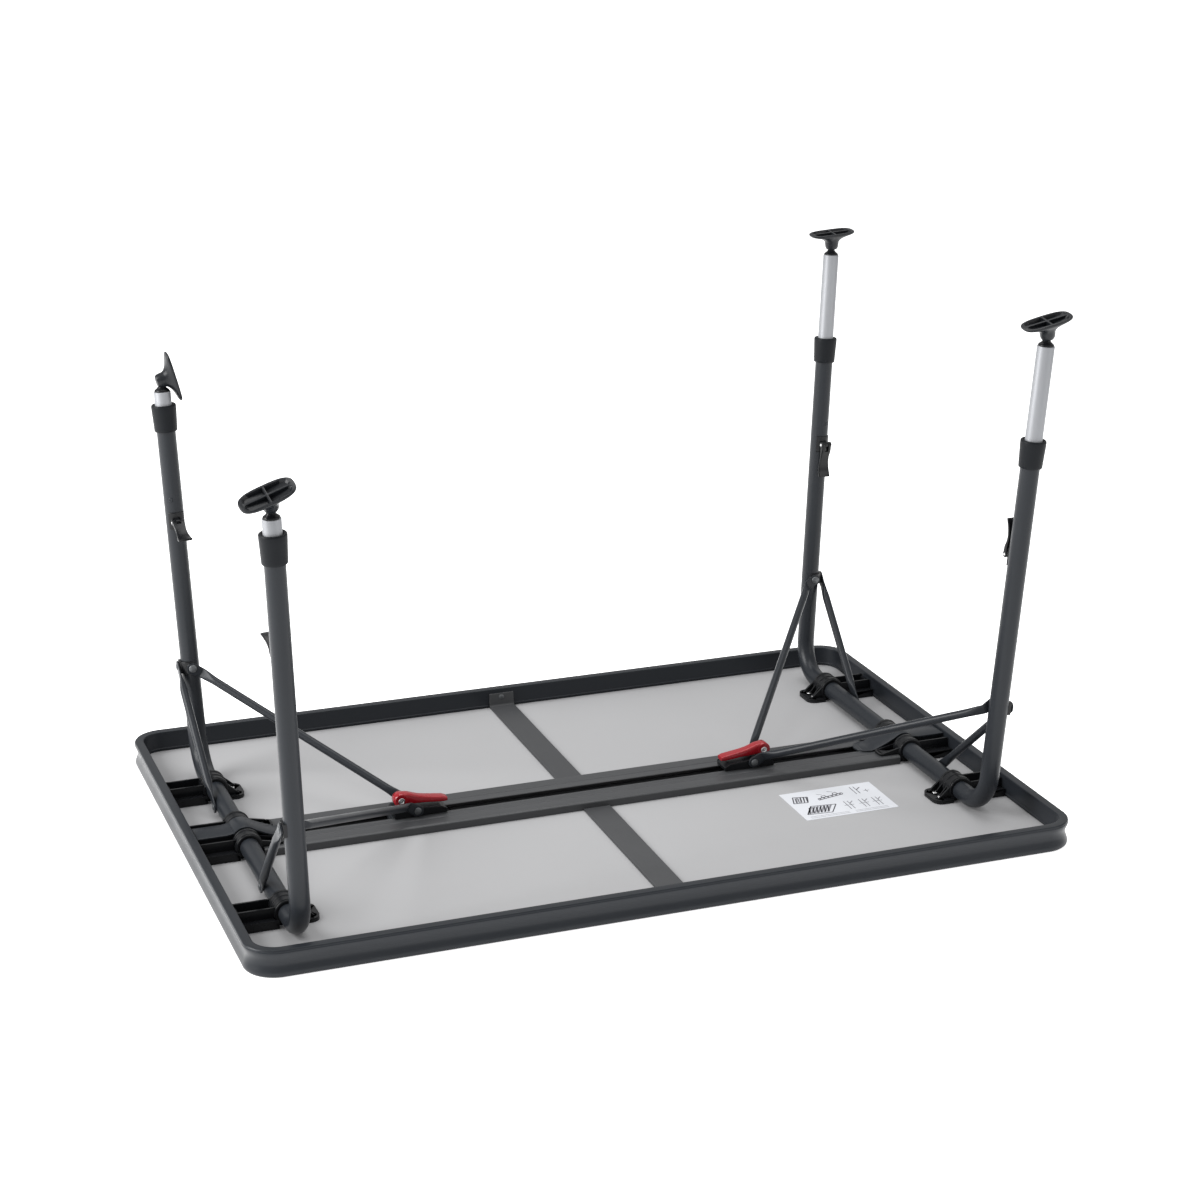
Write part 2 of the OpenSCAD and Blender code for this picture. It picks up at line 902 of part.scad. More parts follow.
module slider_pin(side) {
    color(silver)
    at_slider(side)
        translate([-lever_back, 0, lever_z])
            rod_y(lever_pin_r, 2 * lever_half + 1);
}

// Red clamping lever: a cam round the pin and a tail along the rail
module slider_lever(side) {
    color(red)
    at_slider(side)
        translate([-lever_back, 0, lever_z])
            difference() {
                union() {
                    rod_y(lever_r, 2 * lever_half);
                    side_plate([
                        [0, lever_r], [9, 8], [19, 4], [30, 0.8], [42, -1.8], [56, -3.6],
                        [58.5, -5.5], [58, -8.6], [44, -8], [30, -6.8], [18, -7], [6, -lever_r + 2.3]
                    ], 2 * lever_half);
                }
                rod_y(lever_pin_r + fit, 4 * lever_half);
                translate([-lever_r - 1, -stud_r - 0.6, -lever_r - 1])
                    cube([lever_r + stud_r + 1.6, 2 * stud_r + 1.2, lever_r + stud_r + 1.6]);
            }
}

tabletop_panel();
frame_half(LEFT);  // frame_half_left
frame_half(RIGHT);  // frame_half_right
cross_bar(FRONT);  // cross_bar_front
cross_bar(BACK);  // cross_bar_back
centre_rail();
hinge_straps();
bracket_screws();
bar_rivets();
instruction_label();
outer_bracket(LEFT, FRONT);  // hinge_bracket_left_front
centre_bracket(LEFT);  // hinge_bracket_left_centre
outer_bracket(LEFT, BACK);  // hinge_bracket_left_back
outer_bracket(RIGHT, FRONT);  // hinge_bracket_right_front
centre_bracket(RIGHT);  // hinge_bracket_right_centre
outer_bracket(RIGHT, BACK);  // hinge_bracket_right_back
leg_tube(LEFT);  // leg_tube_left
leg_tube(RIGHT);  // leg_tube_right
leg_collars(LEFT);  // leg_collars_left
leg_collars(RIGHT);  // leg_collars_right
strut_clamps(LEFT);  // strut_clamps_left
strut_clamps(RIGHT);  // strut_clamps_right
short_struts(LEFT);  // short_struts_left
short_struts(RIGHT);  // short_struts_right
strut_rivets(LEFT);  // strut_rivets_left
strut_rivets(RIGHT);  // strut_rivets_right
cam_housings(LEFT);  // cam_housings_left
cam_housings(RIGHT);  // cam_housings_right
cam_pins(LEFT);  // cam_pins_left
cam_pins(RIGHT);  // cam_pins_right
inner_tube(LEFT, FRONT);  // inner_tube_left_front
inner_tube(LEFT, BACK);  // inner_tube_left_back
inner_tube(RIGHT, FRONT);  // inner_tube_right_front
inner_tube(RIGHT, BACK);  // inner_tube_right_back
foot_stud(LEFT, FRONT);  // foot_stud_left_front
foot_stud(LEFT, BACK);  // foot_stud_left_back
foot_stud(RIGHT, FRONT);  // foot_stud_right_front
foot_stud(RIGHT, BACK);  // foot_stud_right_back
foot(LEFT, FRONT);  // foot_left_front
foot(LEFT, BACK);  // foot_left_back
foot(RIGHT, FRONT);  // foot_right_front
foot(RIGHT, BACK);  // foot_right_back
cam_lever(LEFT, FRONT);  // cam_lever_left_front
cam_lever(LEFT, BACK);  // cam_lever_left_back
cam_lever(RIGHT, FRONT);  // cam_lever_right_front
cam_lever(RIGHT, BACK);  // cam_lever_right_back
long_strut(LEFT, FRONT);  // long_strut_left_front
long_strut(LEFT, BACK);  // long_strut_left_back
long_strut(RIGHT, FRONT);  // long_strut_right_front
long_strut(RIGHT, BACK);  // long_strut_right_back
strut_end_rivets(LEFT);  // strut_end_rivets_left
strut_end_rivets(RIGHT);  // strut_end_rivets_right
slider_body(LEFT);  // slider_body_left
slider_body(RIGHT);  // slider_body_right
slider_nut(LEFT);  // slider_nut_left
slider_nut(RIGHT);  // slider_nut_right
slider_lever(LEFT);  // slider_lever_left
slider_lever(RIGHT);  // slider_lever_right
slider_pin(LEFT);  // slider_pin_left
slider_pin(RIGHT);  // slider_pin_right
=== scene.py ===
import json
import math
import bpy
import bmesh
from mathutils import Matrix, Vector


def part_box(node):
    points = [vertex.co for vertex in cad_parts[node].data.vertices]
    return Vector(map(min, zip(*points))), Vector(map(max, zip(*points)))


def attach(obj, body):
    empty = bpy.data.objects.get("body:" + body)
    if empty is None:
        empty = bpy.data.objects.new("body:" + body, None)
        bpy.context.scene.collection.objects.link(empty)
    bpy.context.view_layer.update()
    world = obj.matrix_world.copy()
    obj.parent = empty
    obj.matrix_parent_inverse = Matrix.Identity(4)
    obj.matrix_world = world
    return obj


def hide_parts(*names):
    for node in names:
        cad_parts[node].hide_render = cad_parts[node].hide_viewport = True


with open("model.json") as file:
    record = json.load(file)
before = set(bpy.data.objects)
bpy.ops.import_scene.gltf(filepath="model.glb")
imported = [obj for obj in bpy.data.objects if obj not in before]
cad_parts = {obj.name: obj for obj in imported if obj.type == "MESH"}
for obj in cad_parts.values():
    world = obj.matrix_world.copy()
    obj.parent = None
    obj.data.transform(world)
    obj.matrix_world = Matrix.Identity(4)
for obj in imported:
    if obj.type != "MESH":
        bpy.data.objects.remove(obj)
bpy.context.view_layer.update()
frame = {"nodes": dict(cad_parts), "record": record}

MM = 0.001
SIDES = {"left": -1, "right": 1}
ENDS = {"front": -1, "back": 1}
JOINTS = {j["name"]: j for j in frame["record"]["behaviour"]["joints"]}


# ---------------------------------------------------------------- materials
def material(name, color, rough, metallic=0.0, coat=0.0, grain=0.0, grain_scale=900.0,
             stretch=(1, 1, 1), mottle=0.0, mottle_scale=14.0, rough_var=0.05, spec=0.5):
    """Principled material in object space: fine bump grain, slow mottling of colour and roughness."""
    m = bpy.data.materials.new(name)
    m.use_nodes = True
    nt = m.node_tree
    p = nt.nodes["Principled BSDF"]
    p.inputs["Base Color"].default_value = (*color, 1)
    p.inputs["Roughness"].default_value = rough
    p.inputs["Metallic"].default_value = metallic
    p.inputs["Coat Weight"].default_value = coat
    p.inputs["Coat Roughness"].default_value = 0.12
    p.inputs["IOR"].default_value = 1.5
    p.inputs["Specular IOR Level"].default_value = spec
    m.diffuse_color = (*color, 1)
    co = nt.nodes.new("ShaderNodeTexCoord")
    mp = nt.nodes.new("ShaderNodeMapping")
    mp.inputs["Scale"].default_value = stretch
    nt.links.new(co.outputs["Object"], mp.inputs["Vector"])
    fine = nt.nodes.new("ShaderNodeTexNoise")
    fine.inputs["Scale"].default_value = grain_scale
    fine.inputs["Detail"].default_value = 3.0
    nt.links.new(mp.outputs["Vector"], fine.inputs["Vector"])
    if grain > 0:
        b = nt.nodes.new("ShaderNodeBump")
        b.inputs["Strength"].default_value = grain
        b.inputs["Distance"].default_value = 0.0003
        nt.links.new(fine.outputs["Fac"], b.inputs["Height"])
        nt.links.new(b.outputs["Normal"], p.inputs["Normal"])
    slow = nt.nodes.new("ShaderNodeTexNoise")
    slow.inputs["Scale"].default_value = mottle_scale
    slow.inputs["Detail"].default_value = 4.0
    nt.links.new(mp.outputs["Vector"], slow.inputs["Vector"])
    if rough_var > 0:
        r = nt.nodes.new("ShaderNodeMapRange")
        r.inputs["From Min"].default_value = 0.3
        r.inputs["From Max"].default_value = 0.7
        r.inputs["To Min"].default_value = max(0.02, rough - rough_var)
        r.inputs["To Max"].default_value = min(1.0, rough + rough_var)
        nt.links.new(slow.outputs["Fac"], r.inputs["Value"])
        nt.links.new(r.outputs["Result"], p.inputs["Roughness"])
    if mottle > 0:
        x = nt.nodes.new("ShaderNodeMix")
        x.data_type = "RGBA"
        x.inputs[6].default_value = (*[c * (1 - mottle) for c in color], 1)
        x.inputs[7].default_value = (*[min(1.0, c * (1 + mottle)) for c in color], 1)
        nt.links.new(slow.outputs["Fac"], x.inputs["Factor"])
        nt.links.new(x.outputs[2], p.inputs["Base Color"])
    return m


PAINT = material("powder_coat", (0.017, 0.0195, 0.0235), 0.33, grain=0.10, grain_scale=1400,
                 rough_var=0.04, spec=0.22)
PAINT_DARK = material("powder_coat_dark", (0.016, 0.018, 0.021), 0.40, grain=0.10, grain_scale=1400, spec=0.2)
BAR = material("bar_paint", (0.047, 0.0485, 0.051), 0.42, grain=0.12, grain_scale=1200, spec=0.3)
LAMINATE = material("panel_laminate", (0.350, 0.350, 0.356), 0.60, grain=0.05, grain_scale=700,
                    mottle=0.035, mottle_scale=5.0)
BLACK = material("black_nylon", (0.0065, 0.0070, 0.0082), 0.30, grain=0.16, grain_scale=1000,
                 rough_var=0.07, spec=0.24)
BLACK_SATIN = material("black_satin", (0.0085, 0.0098, 0.0118), 0.46, grain=0.18, grain_scale=1200,
                       rough_var=0.06, spec=0.12)
RUBBER = material("foot_rubber", (0.0085, 0.0098, 0.0120), 0.34, grain=0.20, grain_scale=900,
                  rough_var=0.06, spec=0.26)
SILVER = material("anodised_tube", (0.285, 0.292, 0.308), 0.48, metallic=0.25, grain=0.05, grain_scale=260,
                  stretch=(6, 6, 0.25), rough_var=0.03)
STEEL = material("zinc_steel", (0.62, 0.62, 0.62), 0.30, metallic=1.0, grain=0.04, rough_var=0.05)
STEEL_DARK = material("painted_rivet", (0.09, 0.095, 0.10), 0.38, metallic=0.3, grain=0.05)
RED = material("red_plastic", (0.265, 0.0065, 0.0125), 0.24, coat=0.25, grain=0.05, grain_scale=500,
               rough_var=0.04, spec=0.3)
LABEL = material("label_paper", (0.62, 0.635, 0.67), 0.45, grain=0.02, rough_var=0.02)
INK = material("label_ink", (0.055, 0.055, 0.065), 0.6, rough_var=0.02)
INK_SOFT = material("label_ink_soft", (0.20, 0.20, 0.22), 0.6, rough_var=0.02)


# ---------------------------------------------------------------- geometry helpers (millimetres)
class Shape:
    """Collects closed shells in millimetres and turns them into one object."""

    def __init__(self):
        self.bm = bmesh.new()

    def add(self, verts, faces, m=None):
        m = m or Matrix()
        vs = [self.bm.verts.new(m @ Vector(v)) for v in verts]
        for f in faces:
            self.bm.faces.new([vs[i] for i in f])
        return self

    def loft(self, rings, m=None, loop=False):
        """Skin over rings with equal counts of points: capped at both ends, or closed on itself."""
        n = len(rings[0])
        k = len(rings)
        verts = [p for r in rings for p in r]
        faces = []
        for i in range(k if loop else k - 1):
            a, b = i * n, ((i + 1) % k) * n
            for j in range(n):
                faces.append((a + j, a + (j + 1) % n, b + (j + 1) % n, b + j))
        if not loop:
            faces.append(tuple(reversed(range(n))))
            faces.append(tuple(range((k - 1) * n, k * n)))
        return self.add(verts, faces, m)

    def lathe(self, profile, m=None, segs=48):
        """Profile (r, z) turned about Z: open when both its ends lie on the axis, or else closed."""
        closed = abs(profile[0][0]) > 1e-6 or abs(profile[-1][0]) > 1e-6
        rings = []
        for i in range(segs):
            a = 2 * math.pi * i / segs
            rings.append([(r * math.cos(a), r * math.sin(a), z) for r, z in profile])
        n = len(profile)
        verts = [p for r in rings for p in r]
        faces = []
        for i in range(segs):
            a, b = i * n, ((i + 1) % segs) * n
            for j in range(n if closed else n - 1):
                faces.append((a + j, a + (j + 1) % n, b + (j + 1) % n, b + j))
        return self.add(verts, faces, m)

    def prism(self, poly, lo, hi, m=None, axis="z"):
        """Polygon pushed along an axis: z keeps (x, y), y maps (x, z), x maps (y, z)."""
        def at(p, t):
            return {"z": (p[0], p[1], t), "y": (p[0], t, p[1]), "x": (t, p[0], p[1])}[axis]
        return self.loft([[at(p, lo) for p in poly], [at(p, hi) for p in poly]], m)

    def box(self, lo, hi, m=None):
        poly = [(lo[0], lo[1]), (hi[0], lo[1]), (hi[0], hi[1]), (lo[0], hi[1])]
        return self.prism(poly, lo[2], hi[2], m)

    def rod(self, a, b, r, m, segs, chamfer):
        """Round rod between two points of frame m, with chamfered ends."""
        a, b = Vector(a), Vector(b)
        length = (b - a).length
        turn = (b - a).to_track_quat("Z", "Y").to_matrix().to_4x4()
        c = chamfer
        prof = [(0, 0), (r - c, 0), (r, c), (r, length - c), (r - c, length), (0, length)]
        return self.lathe(prof, m @ Matrix.Translation(a) @ turn, segs)

    def mesh(self, name):
        """Mesh in metres, with doubled points merged and empty faces dropped."""
        bm = self.bm
        bmesh.ops.scale(bm, vec=(MM, MM, MM), verts=bm.verts)
        bmesh.ops.remove_doubles(bm, verts=bm.verts, dist=1e-7)
        empty = [f for f in bm.faces if f.calc_area() < 1e-14]
        if empty:
            bmesh.ops.delete(bm, geom=empty, context="FACES")
        bmesh.ops.recalc_face_normals(bm, faces=bm.faces)
        me = bpy.data.meshes.new(name)
        bm.to_mesh(me)
        bm.free()
        return me

    def done(self, name, mat, body, nodes=(), bevel=0.0, smooth=32):
        """Object that rides a body, in place of the CAD nodes named; bevel is in mm, smooth in degrees."""
        me = self.mesh(name)
        me.materials.append(mat)
        for poly in me.polygons:
            poly.use_smooth = True
        me.set_sharp_from_angle(angle=math.radians(smooth))
        ob = bpy.data.objects.new(name, me)
        bpy.context.scene.collection.objects.link(ob)
        if bevel > 0:
            b = ob.modifiers.new("bevel", "BEVEL")
            b.width = bevel * MM
            b.segments = 2
            b.limit_method = "ANGLE"
            b.angle_limit = math.radians(30)
            b.harden_normals = True
            b.use_clamp_overlap = True
        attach(ob, body)
        if nodes:
            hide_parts(*([nodes] if isinstance(nodes, str) else nodes))
        return ob


def cut(ob, shape, m):
    """Subtracts a shape, placed by m, from a finished object that has no modifier yet."""
    bmesh.ops.transform(shape.bm, matrix=m, verts=shape.bm.verts)
    cutter = bpy.data.objects.new("cutter", shape.mesh("cutter"))
    bpy.context.scene.collection.objects.link(cutter)
    mod = ob.modifiers.new("cut", "BOOLEAN")
    mod.operation = "DIFFERENCE"
    mod.solver = "EXACT"
    mod.object = cutter
    bpy.context.view_layer.update()
    graph = bpy.context.evaluated_depsgraph_get()
    me = bpy.data.meshes.new_from_object(ob.evaluated_get(graph))
    ob.modifiers.remove(mod)
    ob.data = me
    bpy.data.objects.remove(cutter)


def round_poly(pts, radii, n=4):
    """Polygon with its corners rounded; radii is one number or one per corner."""
    out = []
    k = len(pts)
    if not isinstance(radii, (list, tuple)):
        radii = [radii] * k
    for i in range(k):
        p = Vector(pts[i])
        a, b = Vector(pts[i - 1]) - p, Vector(pts[(i + 1) % k]) - p
        r = radii[i]
        if r <= 0 or a.length < 1e-9 or b.length < 1e-9:
            out.append(tuple(p))
            continue
        ua, ub = a.normalized(), b.normalized()
        ang = math.acos(max(-1, min(1, ua.dot(ub))))
        if ang > math.radians(176) or ang < 0.05:
            out.append(tuple(p))
            continue
        t = min(r / math.tan(ang / 2), 0.48 * a.length, 0.48 * b.length)
        rr = t * math.tan(ang / 2)
        c = p + (ua + ub).normalized() * (rr / math.sin(ang / 2))
        p0, p1 = p + ua * t, p + ub * t
        v0, v1 = p0 - c, p1 - c
        a0, a1 = math.atan2(v0.y, v0.x), math.atan2(v1.y, v1.x)
        d = (a1 - a0 + math.pi) % (2 * math.pi) - math.pi
        for s in range(n + 1):
            a_ = a0 + d * s / n
            out.append((c.x + rr * math.cos(a_), c.y + rr * math.sin(a_)))
    return out


def super_ring(c, u, v, hu, hv, e, n=28):
    """Ring about c with half sizes hu along u and hv along v; e = 1 is an ellipse, smaller is squarer."""
    pts = []
    for i in range(n):
        x, y = math.cos(2 * math.pi * i / n), math.sin(2 * math.pi * i / n)
        along_u = hu * math.copysign(abs(x) ** e, x)
        along_v = hv * math.copysign(abs(y) ** e, y)
        pts.append(tuple(c + u * along_u + v * along_v))
    return pts


def arc(r, a0, a1, n, cx=0.0, cy=0.0):
    """Points of an arc about (cx, cy) from a0 to a1 degrees, in n steps."""
    angles = [math.radians(a0 + (a1 - a0) * i / n) for i in range(n + 1)]
    return [(cx + r * math.cos(a), cy + r * math.sin(a)) for a in angles]


def smooth_step(t):
    t = max(0.0, min(1.0, t))
    return t * t * (3 - 2 * t)


def mm(p):
    """Point of the frame, in millimetres."""
    return Vector([c / MM for c in p])


def axes(x, y, z, o):
    """Matrix with the axes x, y and z and the origin o."""
    m = Matrix((x, y, z)).transposed().to_4x4()
    m.translation = o
    return m


def sector(shape, prof, a0, a1, m, n=24):
    """Closed profile (r, z) turned about Z between two angles in degrees, with flat ends."""
    rings = []
    for i in range(n + 1):
        a = math.radians(a0 + (a1 - a0) * i / n)
        rings.append([(r * math.cos(a), r * math.sin(a), z) for r, z in prof])
    shape.loft(rings, m)


def dome(r, h, m, shape, segs=32):
    """Domed rivet head of radius r, rising h along +Z of m."""
    prof = [(r * math.cos(a), h * math.sin(a)) for a in [math.pi / 2 * i / 6 for i in range(7)]]
    prof = [(0, -0.3), (r * 0.98, -0.3)] + prof[:-1] + [(0, h)]
    shape.lathe(prof, m, segs)


# ---------------------------------------------------------------- frames from the record
HINGE = {}
LEG = {}
X, Y, Z = Vector((1, 0, 0)), Vector((0, 1, 0)), Vector((0, 0, 1))
TOP_OF_LEG = 446.0      # end of the leg tube, along the leg from the hinge axis
STRUT_S = 132.0         # pivot of the struts, along the leg
LEG_R = 11.5            # radius of the leg tube
TUBE_R = 10.2           # radius of the inner tube
FRAME_WALL = 13.2       # from the outer face of the frame to its inner ledge
for side, sx in SIDES.items():
    h = mm(JOINTS[f"leg_fold_{side}"]["pos_m"])
    ys = []
    for end, sy in ENDS.items():
        key = f"{side}_{end}"
        up = (-Vector(JOINTS[f"telescope_{key}"]["axis"])).normalized()
        ball = mm(JOINTS[f"foot_tilt_{key}"]["pos_m"])
        y = Vector(JOINTS[f"foot_tilt_{key}"]["axis"]).normalized()
        y = y if y.y * sy > 0 else -y
        x = y.cross(up).normalized()
        x = x if x.x * sx > 0 else -x
        t = ((ball.x - h.x) * up.x + (ball.z - h.z) * up.z) / (up.x ** 2 + up.z ** 2)
        # x points outwards, y away from the other leg, z up the leg, from level with the hinge axis
        LEG[key] = {"m": axes(x, y, up, ball - up * t), "ball": t, "up": up}
        ys.append((ball - up * t).y)
        flat = Vector((up.x, 0, up.z)).normalized()
    HINGE[side] = axes(Vector((sx * flat.z, 0, -sx * flat.x)), Y, flat, Vector((h.x, sum(ys) / 2, h.z)))
    HALF = (max(ys) - min(ys)) / 2              # from the middle to a leg, at the hinge axis
SPLAY = math.asin(abs(LEG["right_back"]["up"].y))
STRUT_Y = HALF + STRUT_S * math.sin(SPLAY)      # the strut pivot in the frame of its hinge
STRUT_Z = STRUT_S * math.cos(SPLAY)
FLOOR = mm(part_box("tabletop_panel")[1]).z
TOP_X, TOP_Y = mm(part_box("frame_half_right")[1])[:2]


# ---------------------------------------------------------------- tabletop
# section of the edge frame, as (inwards from its outer face, up): the inner wall with its ledge and the top,
# then the outer face
RIM = round_poly(
    [(6.95, 0.02), (6.95, 6.0), (12, 6.0), (12, 7.7), (13.2, 8.2), (13.2, 9.6), (12, 10.2), (12, 31.9),
     (1.7, 31.9), (0.5, 30.4)], [0.4, 0, 0, 0.3, 0.4, 0.4, 0.3, 1.3, 1.0, 1.2], 5)
# a broad hollow between two beads
RIM += [(0.12 + 3.2 * math.sin(math.pi * i / 24) ** 1.6, 28.6 - 24.6 * i / 24) for i in range(25)]
RIM += [(0.3, 2.6), (0.8, 1.2), (1.6, 0.35), (2.6, 0.02)]
CORNER = 38.0
for side, sx in SIDES.items():
    path = [((0, -TOP_Y), (0, 1))]
    for cy, a0 in ((-(TOP_Y - CORNER), -90), (TOP_Y - CORNER, 0)):
        for i in range(25):
            a = math.radians(a0 + 90 * i / 24)
            n = (math.cos(a), math.sin(a))
            path.append(((TOP_X - CORNER + CORNER * n[0], cy + CORNER * n[1]), (-n[0], -n[1])))
    path.append(((0, TOP_Y), (0, -1)))
    rings = [[(sx * (p[0] + n[0] * u), p[1] + n[1] * u, w) for u, w in RIM] for p, n in path]
    Shape().loft(rings).done(f"rim_{side}", PAINT, "table", f"frame_half_{side}", smooth=28)

for end, sy in ENDS.items():
    y1, y2 = TOP_Y - FRAME_WALL, TOP_Y - 12.0
    prof = [(44, 6), (y1 - 0.2, 6), (y1 - 0.1, 10.8), (y2 - 0.05, 11), (y2 - 0.05, 26), (y2 - 2, 26),
            (y1 - 2.4, 10.5), (y1 - 4.0, 8.8), (44, 8.8)]
    prof = round_poly(prof, [0, 0, 0, 0, 0.8, 0.8, 2, 2, 0.6], 4)
    Shape().prism([(sy * y, z) for y, z in prof], -17, 17, axis="x").done(
        f"cross_bar_{end}_fine", BAR, "table", f"cross_bar_{end}", bevel=0.5)
rivets = Shape()
for sy in (-1, 1):
    m = axes(X, Vector((0, 0, -sy)), Vector((0, -sy, 0)), Vector((0, sy * (TOP_Y - 14.0), 20)))
    dome(4.0, 1.5, m, rivets)
rivets.done("bar_rivets_fine", STEEL_DARK, "table", "bar_rivets")

rail_lo, rail_hi = (mm(p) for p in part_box("centre_rail"))
RW, RT, SLOT = rail_hi.y, rail_hi.z, 9.0        # half width, top and half slot of the rail
half = [(SLOT, RT), (SLOT + 3.2, RT), (SLOT + 4.0, RT - 0.55), (22, RT - 0.55), (22.7, RT - 1.0),
        (24.0, RT - 1.0), (24.7, RT - 0.45), (RW - 3, RT - 0.2), (RW, RT - 1.6), (RW, FLOOR)]
inner = [(SLOT, RT - 1.6), (21, RT - 1.6), (21, FLOOR + 1.6)]
sec = half + [(-y, z) for y, z in reversed(half)] + [(-y, z) for y, z in inner] + list(reversed(inner))
rad = [0.7] + [0.3] * 6 + [1.2, 1.6, 0]
rad = rad + rad[::-1] + [0.4] * len(inner) * 2
Shape().prism(round_poly(sec, rad, 4), rail_lo.x, rail_hi.x, axis="x").done(
    "centre_rail_fine", BAR, "table", "centre_rail", smooth=30)


# ---------------------------------------------------------------- hinge brackets and straps
SAD_R = 15.5                                    # outer radius of the saddles
CLEAR_X = LEG_R + 0.75                          # walls of the bracket stop short of the hinge tube
HZ = HINGE["left"].translation.z
END_X = TOP_X - FRAME_WALL - 0.3 - abs(HINGE["left"].translation.x)


def saddle(shape, half_w, rings, m):
    """Round saddle about the hinge tube, with raised rings."""
    prof = [(LEG_R + 0.35, -half_w), (SAD_R - 0.8, -half_w), (SAD_R, -half_w + 0.8)]
    for y in rings:
        prof += [(SAD_R, y - 2.2), (SAD_R + 1.1, y - 1.5), (SAD_R + 1.1, y + 1.5), (SAD_R, y + 2.2)]
    prof += [(SAD_R, half_w - 0.8), (SAD_R - 0.8, half_w), (LEG_R + 0.35, half_w)]
    turn = Matrix.Translation((0, 0, HZ)) @ Matrix.Rotation(math.radians(-90), 4, "X")
    shape.lathe(prof, m @ turn, 64)


def toe(shape, length, half_w, walls, m, base, rise, r=12.0):
    """Toe plate with a raised rim, a sunk floor and gussets that slope down from the saddle."""
    x0 = -CLEAR_X
    outer = round_poly([(x0, -half_w), (x0, half_w), (-length, half_w), (-length, -half_w)], [0, 0, r, r], 10)
    inner = round_poly([(x0 - 2, -half_w + 2.6), (x0 - 2, half_w - 2.6), (-length + 2.6, half_w - 2.6),
                        (-length + 2.6, -half_w + 2.6)], [0.5, 0.5, r - 2.6, r - 2.6], 10)
    shape.prism(outer, base, base + rise * 0.72, m)
    rim = [[(x, y, base + rise * 0.6) for x, y in outer], [(x, y, base + rise) for x, y in outer]]
    ring_in = [[(x, y, base + rise) for x, y in inner], [(x, y, base + rise * 0.6) for x, y in inner]]
    shape.loft(rim + ring_in, m, loop=True)
    for y in walls:
        poly = [(x0, base + 1), (x0, 26.0), (x0 - 3, 24.2), (-length + 7, base + rise + 1.0),
                (-length + 4, base + rise * 0.6), (-length + 4, base + 0.3)]
        shape.prism(round_poly(poly, [0, 0, 3, 3, 1, 0], 4), y - 1.3, y + 1.3, m, axis="y")


def trough(shape, base_w, wall_w, m, top=27.0, ledge=15.0):
    """Box of thin walls from the saddle to the frame, on a stepped base."""
    x0 = CLEAR_X
    for s in (-1, 1):
        y0, y1 = sorted((s * (wall_w - 2.4), s * wall_w))
        wall = [(x0, FLOOR), (END_X, FLOOR), (END_X, top), (14, top), (x0, top - 1)]
        shape.prism(wall, y0, y1, m, axis="y")
        y0, y1 = sorted((s * wall_w, s * base_w))
        step = [(13, FLOOR), (END_X, FLOOR), (END_X, ledge), (17, ledge), (13, ledge - 3)]
        shape.prism(step, y0, y1, m, axis="y")
        y0, y1 = sorted((s * (base_w - 2.0), s * base_w))
        edge = [(x0, FLOOR), (END_X, FLOOR), (END_X, ledge + 1.2), (15, ledge + 1.2), (x0, ledge)]
        shape.prism(edge, y0, y1, m, axis="y")
    shape.box((13, -wall_w + 1, FLOOR), (END_X, wall_w - 1, FLOOR + 2), m)
    shape.box((END_X - 2.2, -wall_w + 1, FLOOR), (END_X, wall_w - 1, top - 3), m)
    shape.box((30, -wall_w + 1, FLOOR), (32, wall_w - 1, FLOOR + 9), m)


def gusset(shape, y, half, end_x, end_z, m):
    """Thin web that slopes down from the saddle along the toe."""
    shape.prism([(-CLEAR_X, end_z), (-CLEAR_X, 25), (-17, 20.5), (end_x, end_z + 1), (end_x, end_z)],
                y - half, y + half, m, axis="y")


def bracket_m(side, end):
    """Frame of a bracket: x outwards from below the hinge axis, z up from the use face."""
    lo, hi = (mm(p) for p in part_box(f"hinge_bracket_{side}_{end}"))
    o = Vector((HINGE[side].translation.x, (lo.y + hi.y) / 2, 0))
    return axes(X * SIDES[side], Y, Z, o)


screws = Shape()
for side in SIDES:
    for end in ENDS:
        m = bracket_m(side, end)
        s = Shape()
        trough(s, 24, 13, m)
        toe(s, 36, 21, (-13, 13), m, FLOOR, 5.0)
        s.box((-CLEAR_X - 1, -14.5, FLOOR), (CLEAR_X + 1, 14.5, 7.1), m)
        for y in (-5.5, 5.5):
            gusset(s, y, 0.9, -26, 8.5, m)
        s.done(f"bracket_{side}_{end}", BLACK, "table", f"hinge_bracket_{side}_{end}", bevel=0.45)
        s = Shape()
        saddle(s, 15, (-11, 0, 11), m)
        s.done(f"saddle_{side}_{end}", BLACK, "table", bevel=0.25)
        for y in (-7, 7):
            q = m @ Matrix.Translation((-24, y, FLOOR + 3.4))
            screws.lathe([(0, 0), (4.2, 0), (4.2, 0.8), (3.4, 2.0), (1.7, 2.4), (1.5, 1.2), (0, 1.2)], q, 28)
    m = bracket_m(side, "centre")
    s = Shape()
    trough(s, RW, 30, m)
    for sy in (-1, 1):
        part = m @ Matrix.Translation((0, sy * 26.5, 0))
        toe(s, 42, 9.5, (-7.8, 7.8), part, RT + 0.02, 2.6, 5.0)
        y0, y1 = sorted((sy * 17, sy * 36))
        s.box((-16.7, y0, FLOOR), (-CLEAR_X, y1, RT + 1), m)
    s.box((-CLEAR_X - 1, -37, FLOOR), (CLEAR_X + 1, 37, 7.1), m)
    for y in (-14.5, 14.5):
        wall = [(CLEAR_X, FLOOR), (END_X, FLOOR), (END_X, 26.8), (CLEAR_X, 26.8)]
        s.prism(wall, y - 1.5, y + 1.5, m, axis="y")
    for y in (-28, 28):
        gusset(s, y, 1.0, -33, RT + 1.5, m)
    s.done(f"bracket_{side}_centre", BLACK, "table", f"hinge_bracket_{side}_centre", bevel=0.45)
    s = Shape()
    for sy in (-1, 1):
        k = m @ Matrix.Translation((0, sy * 28, 0))
        saddle(s, 10, (-6.5, 6.5), k)
    s.done(f"saddle_{side}_centre", BLACK, "table", bevel=0.25)
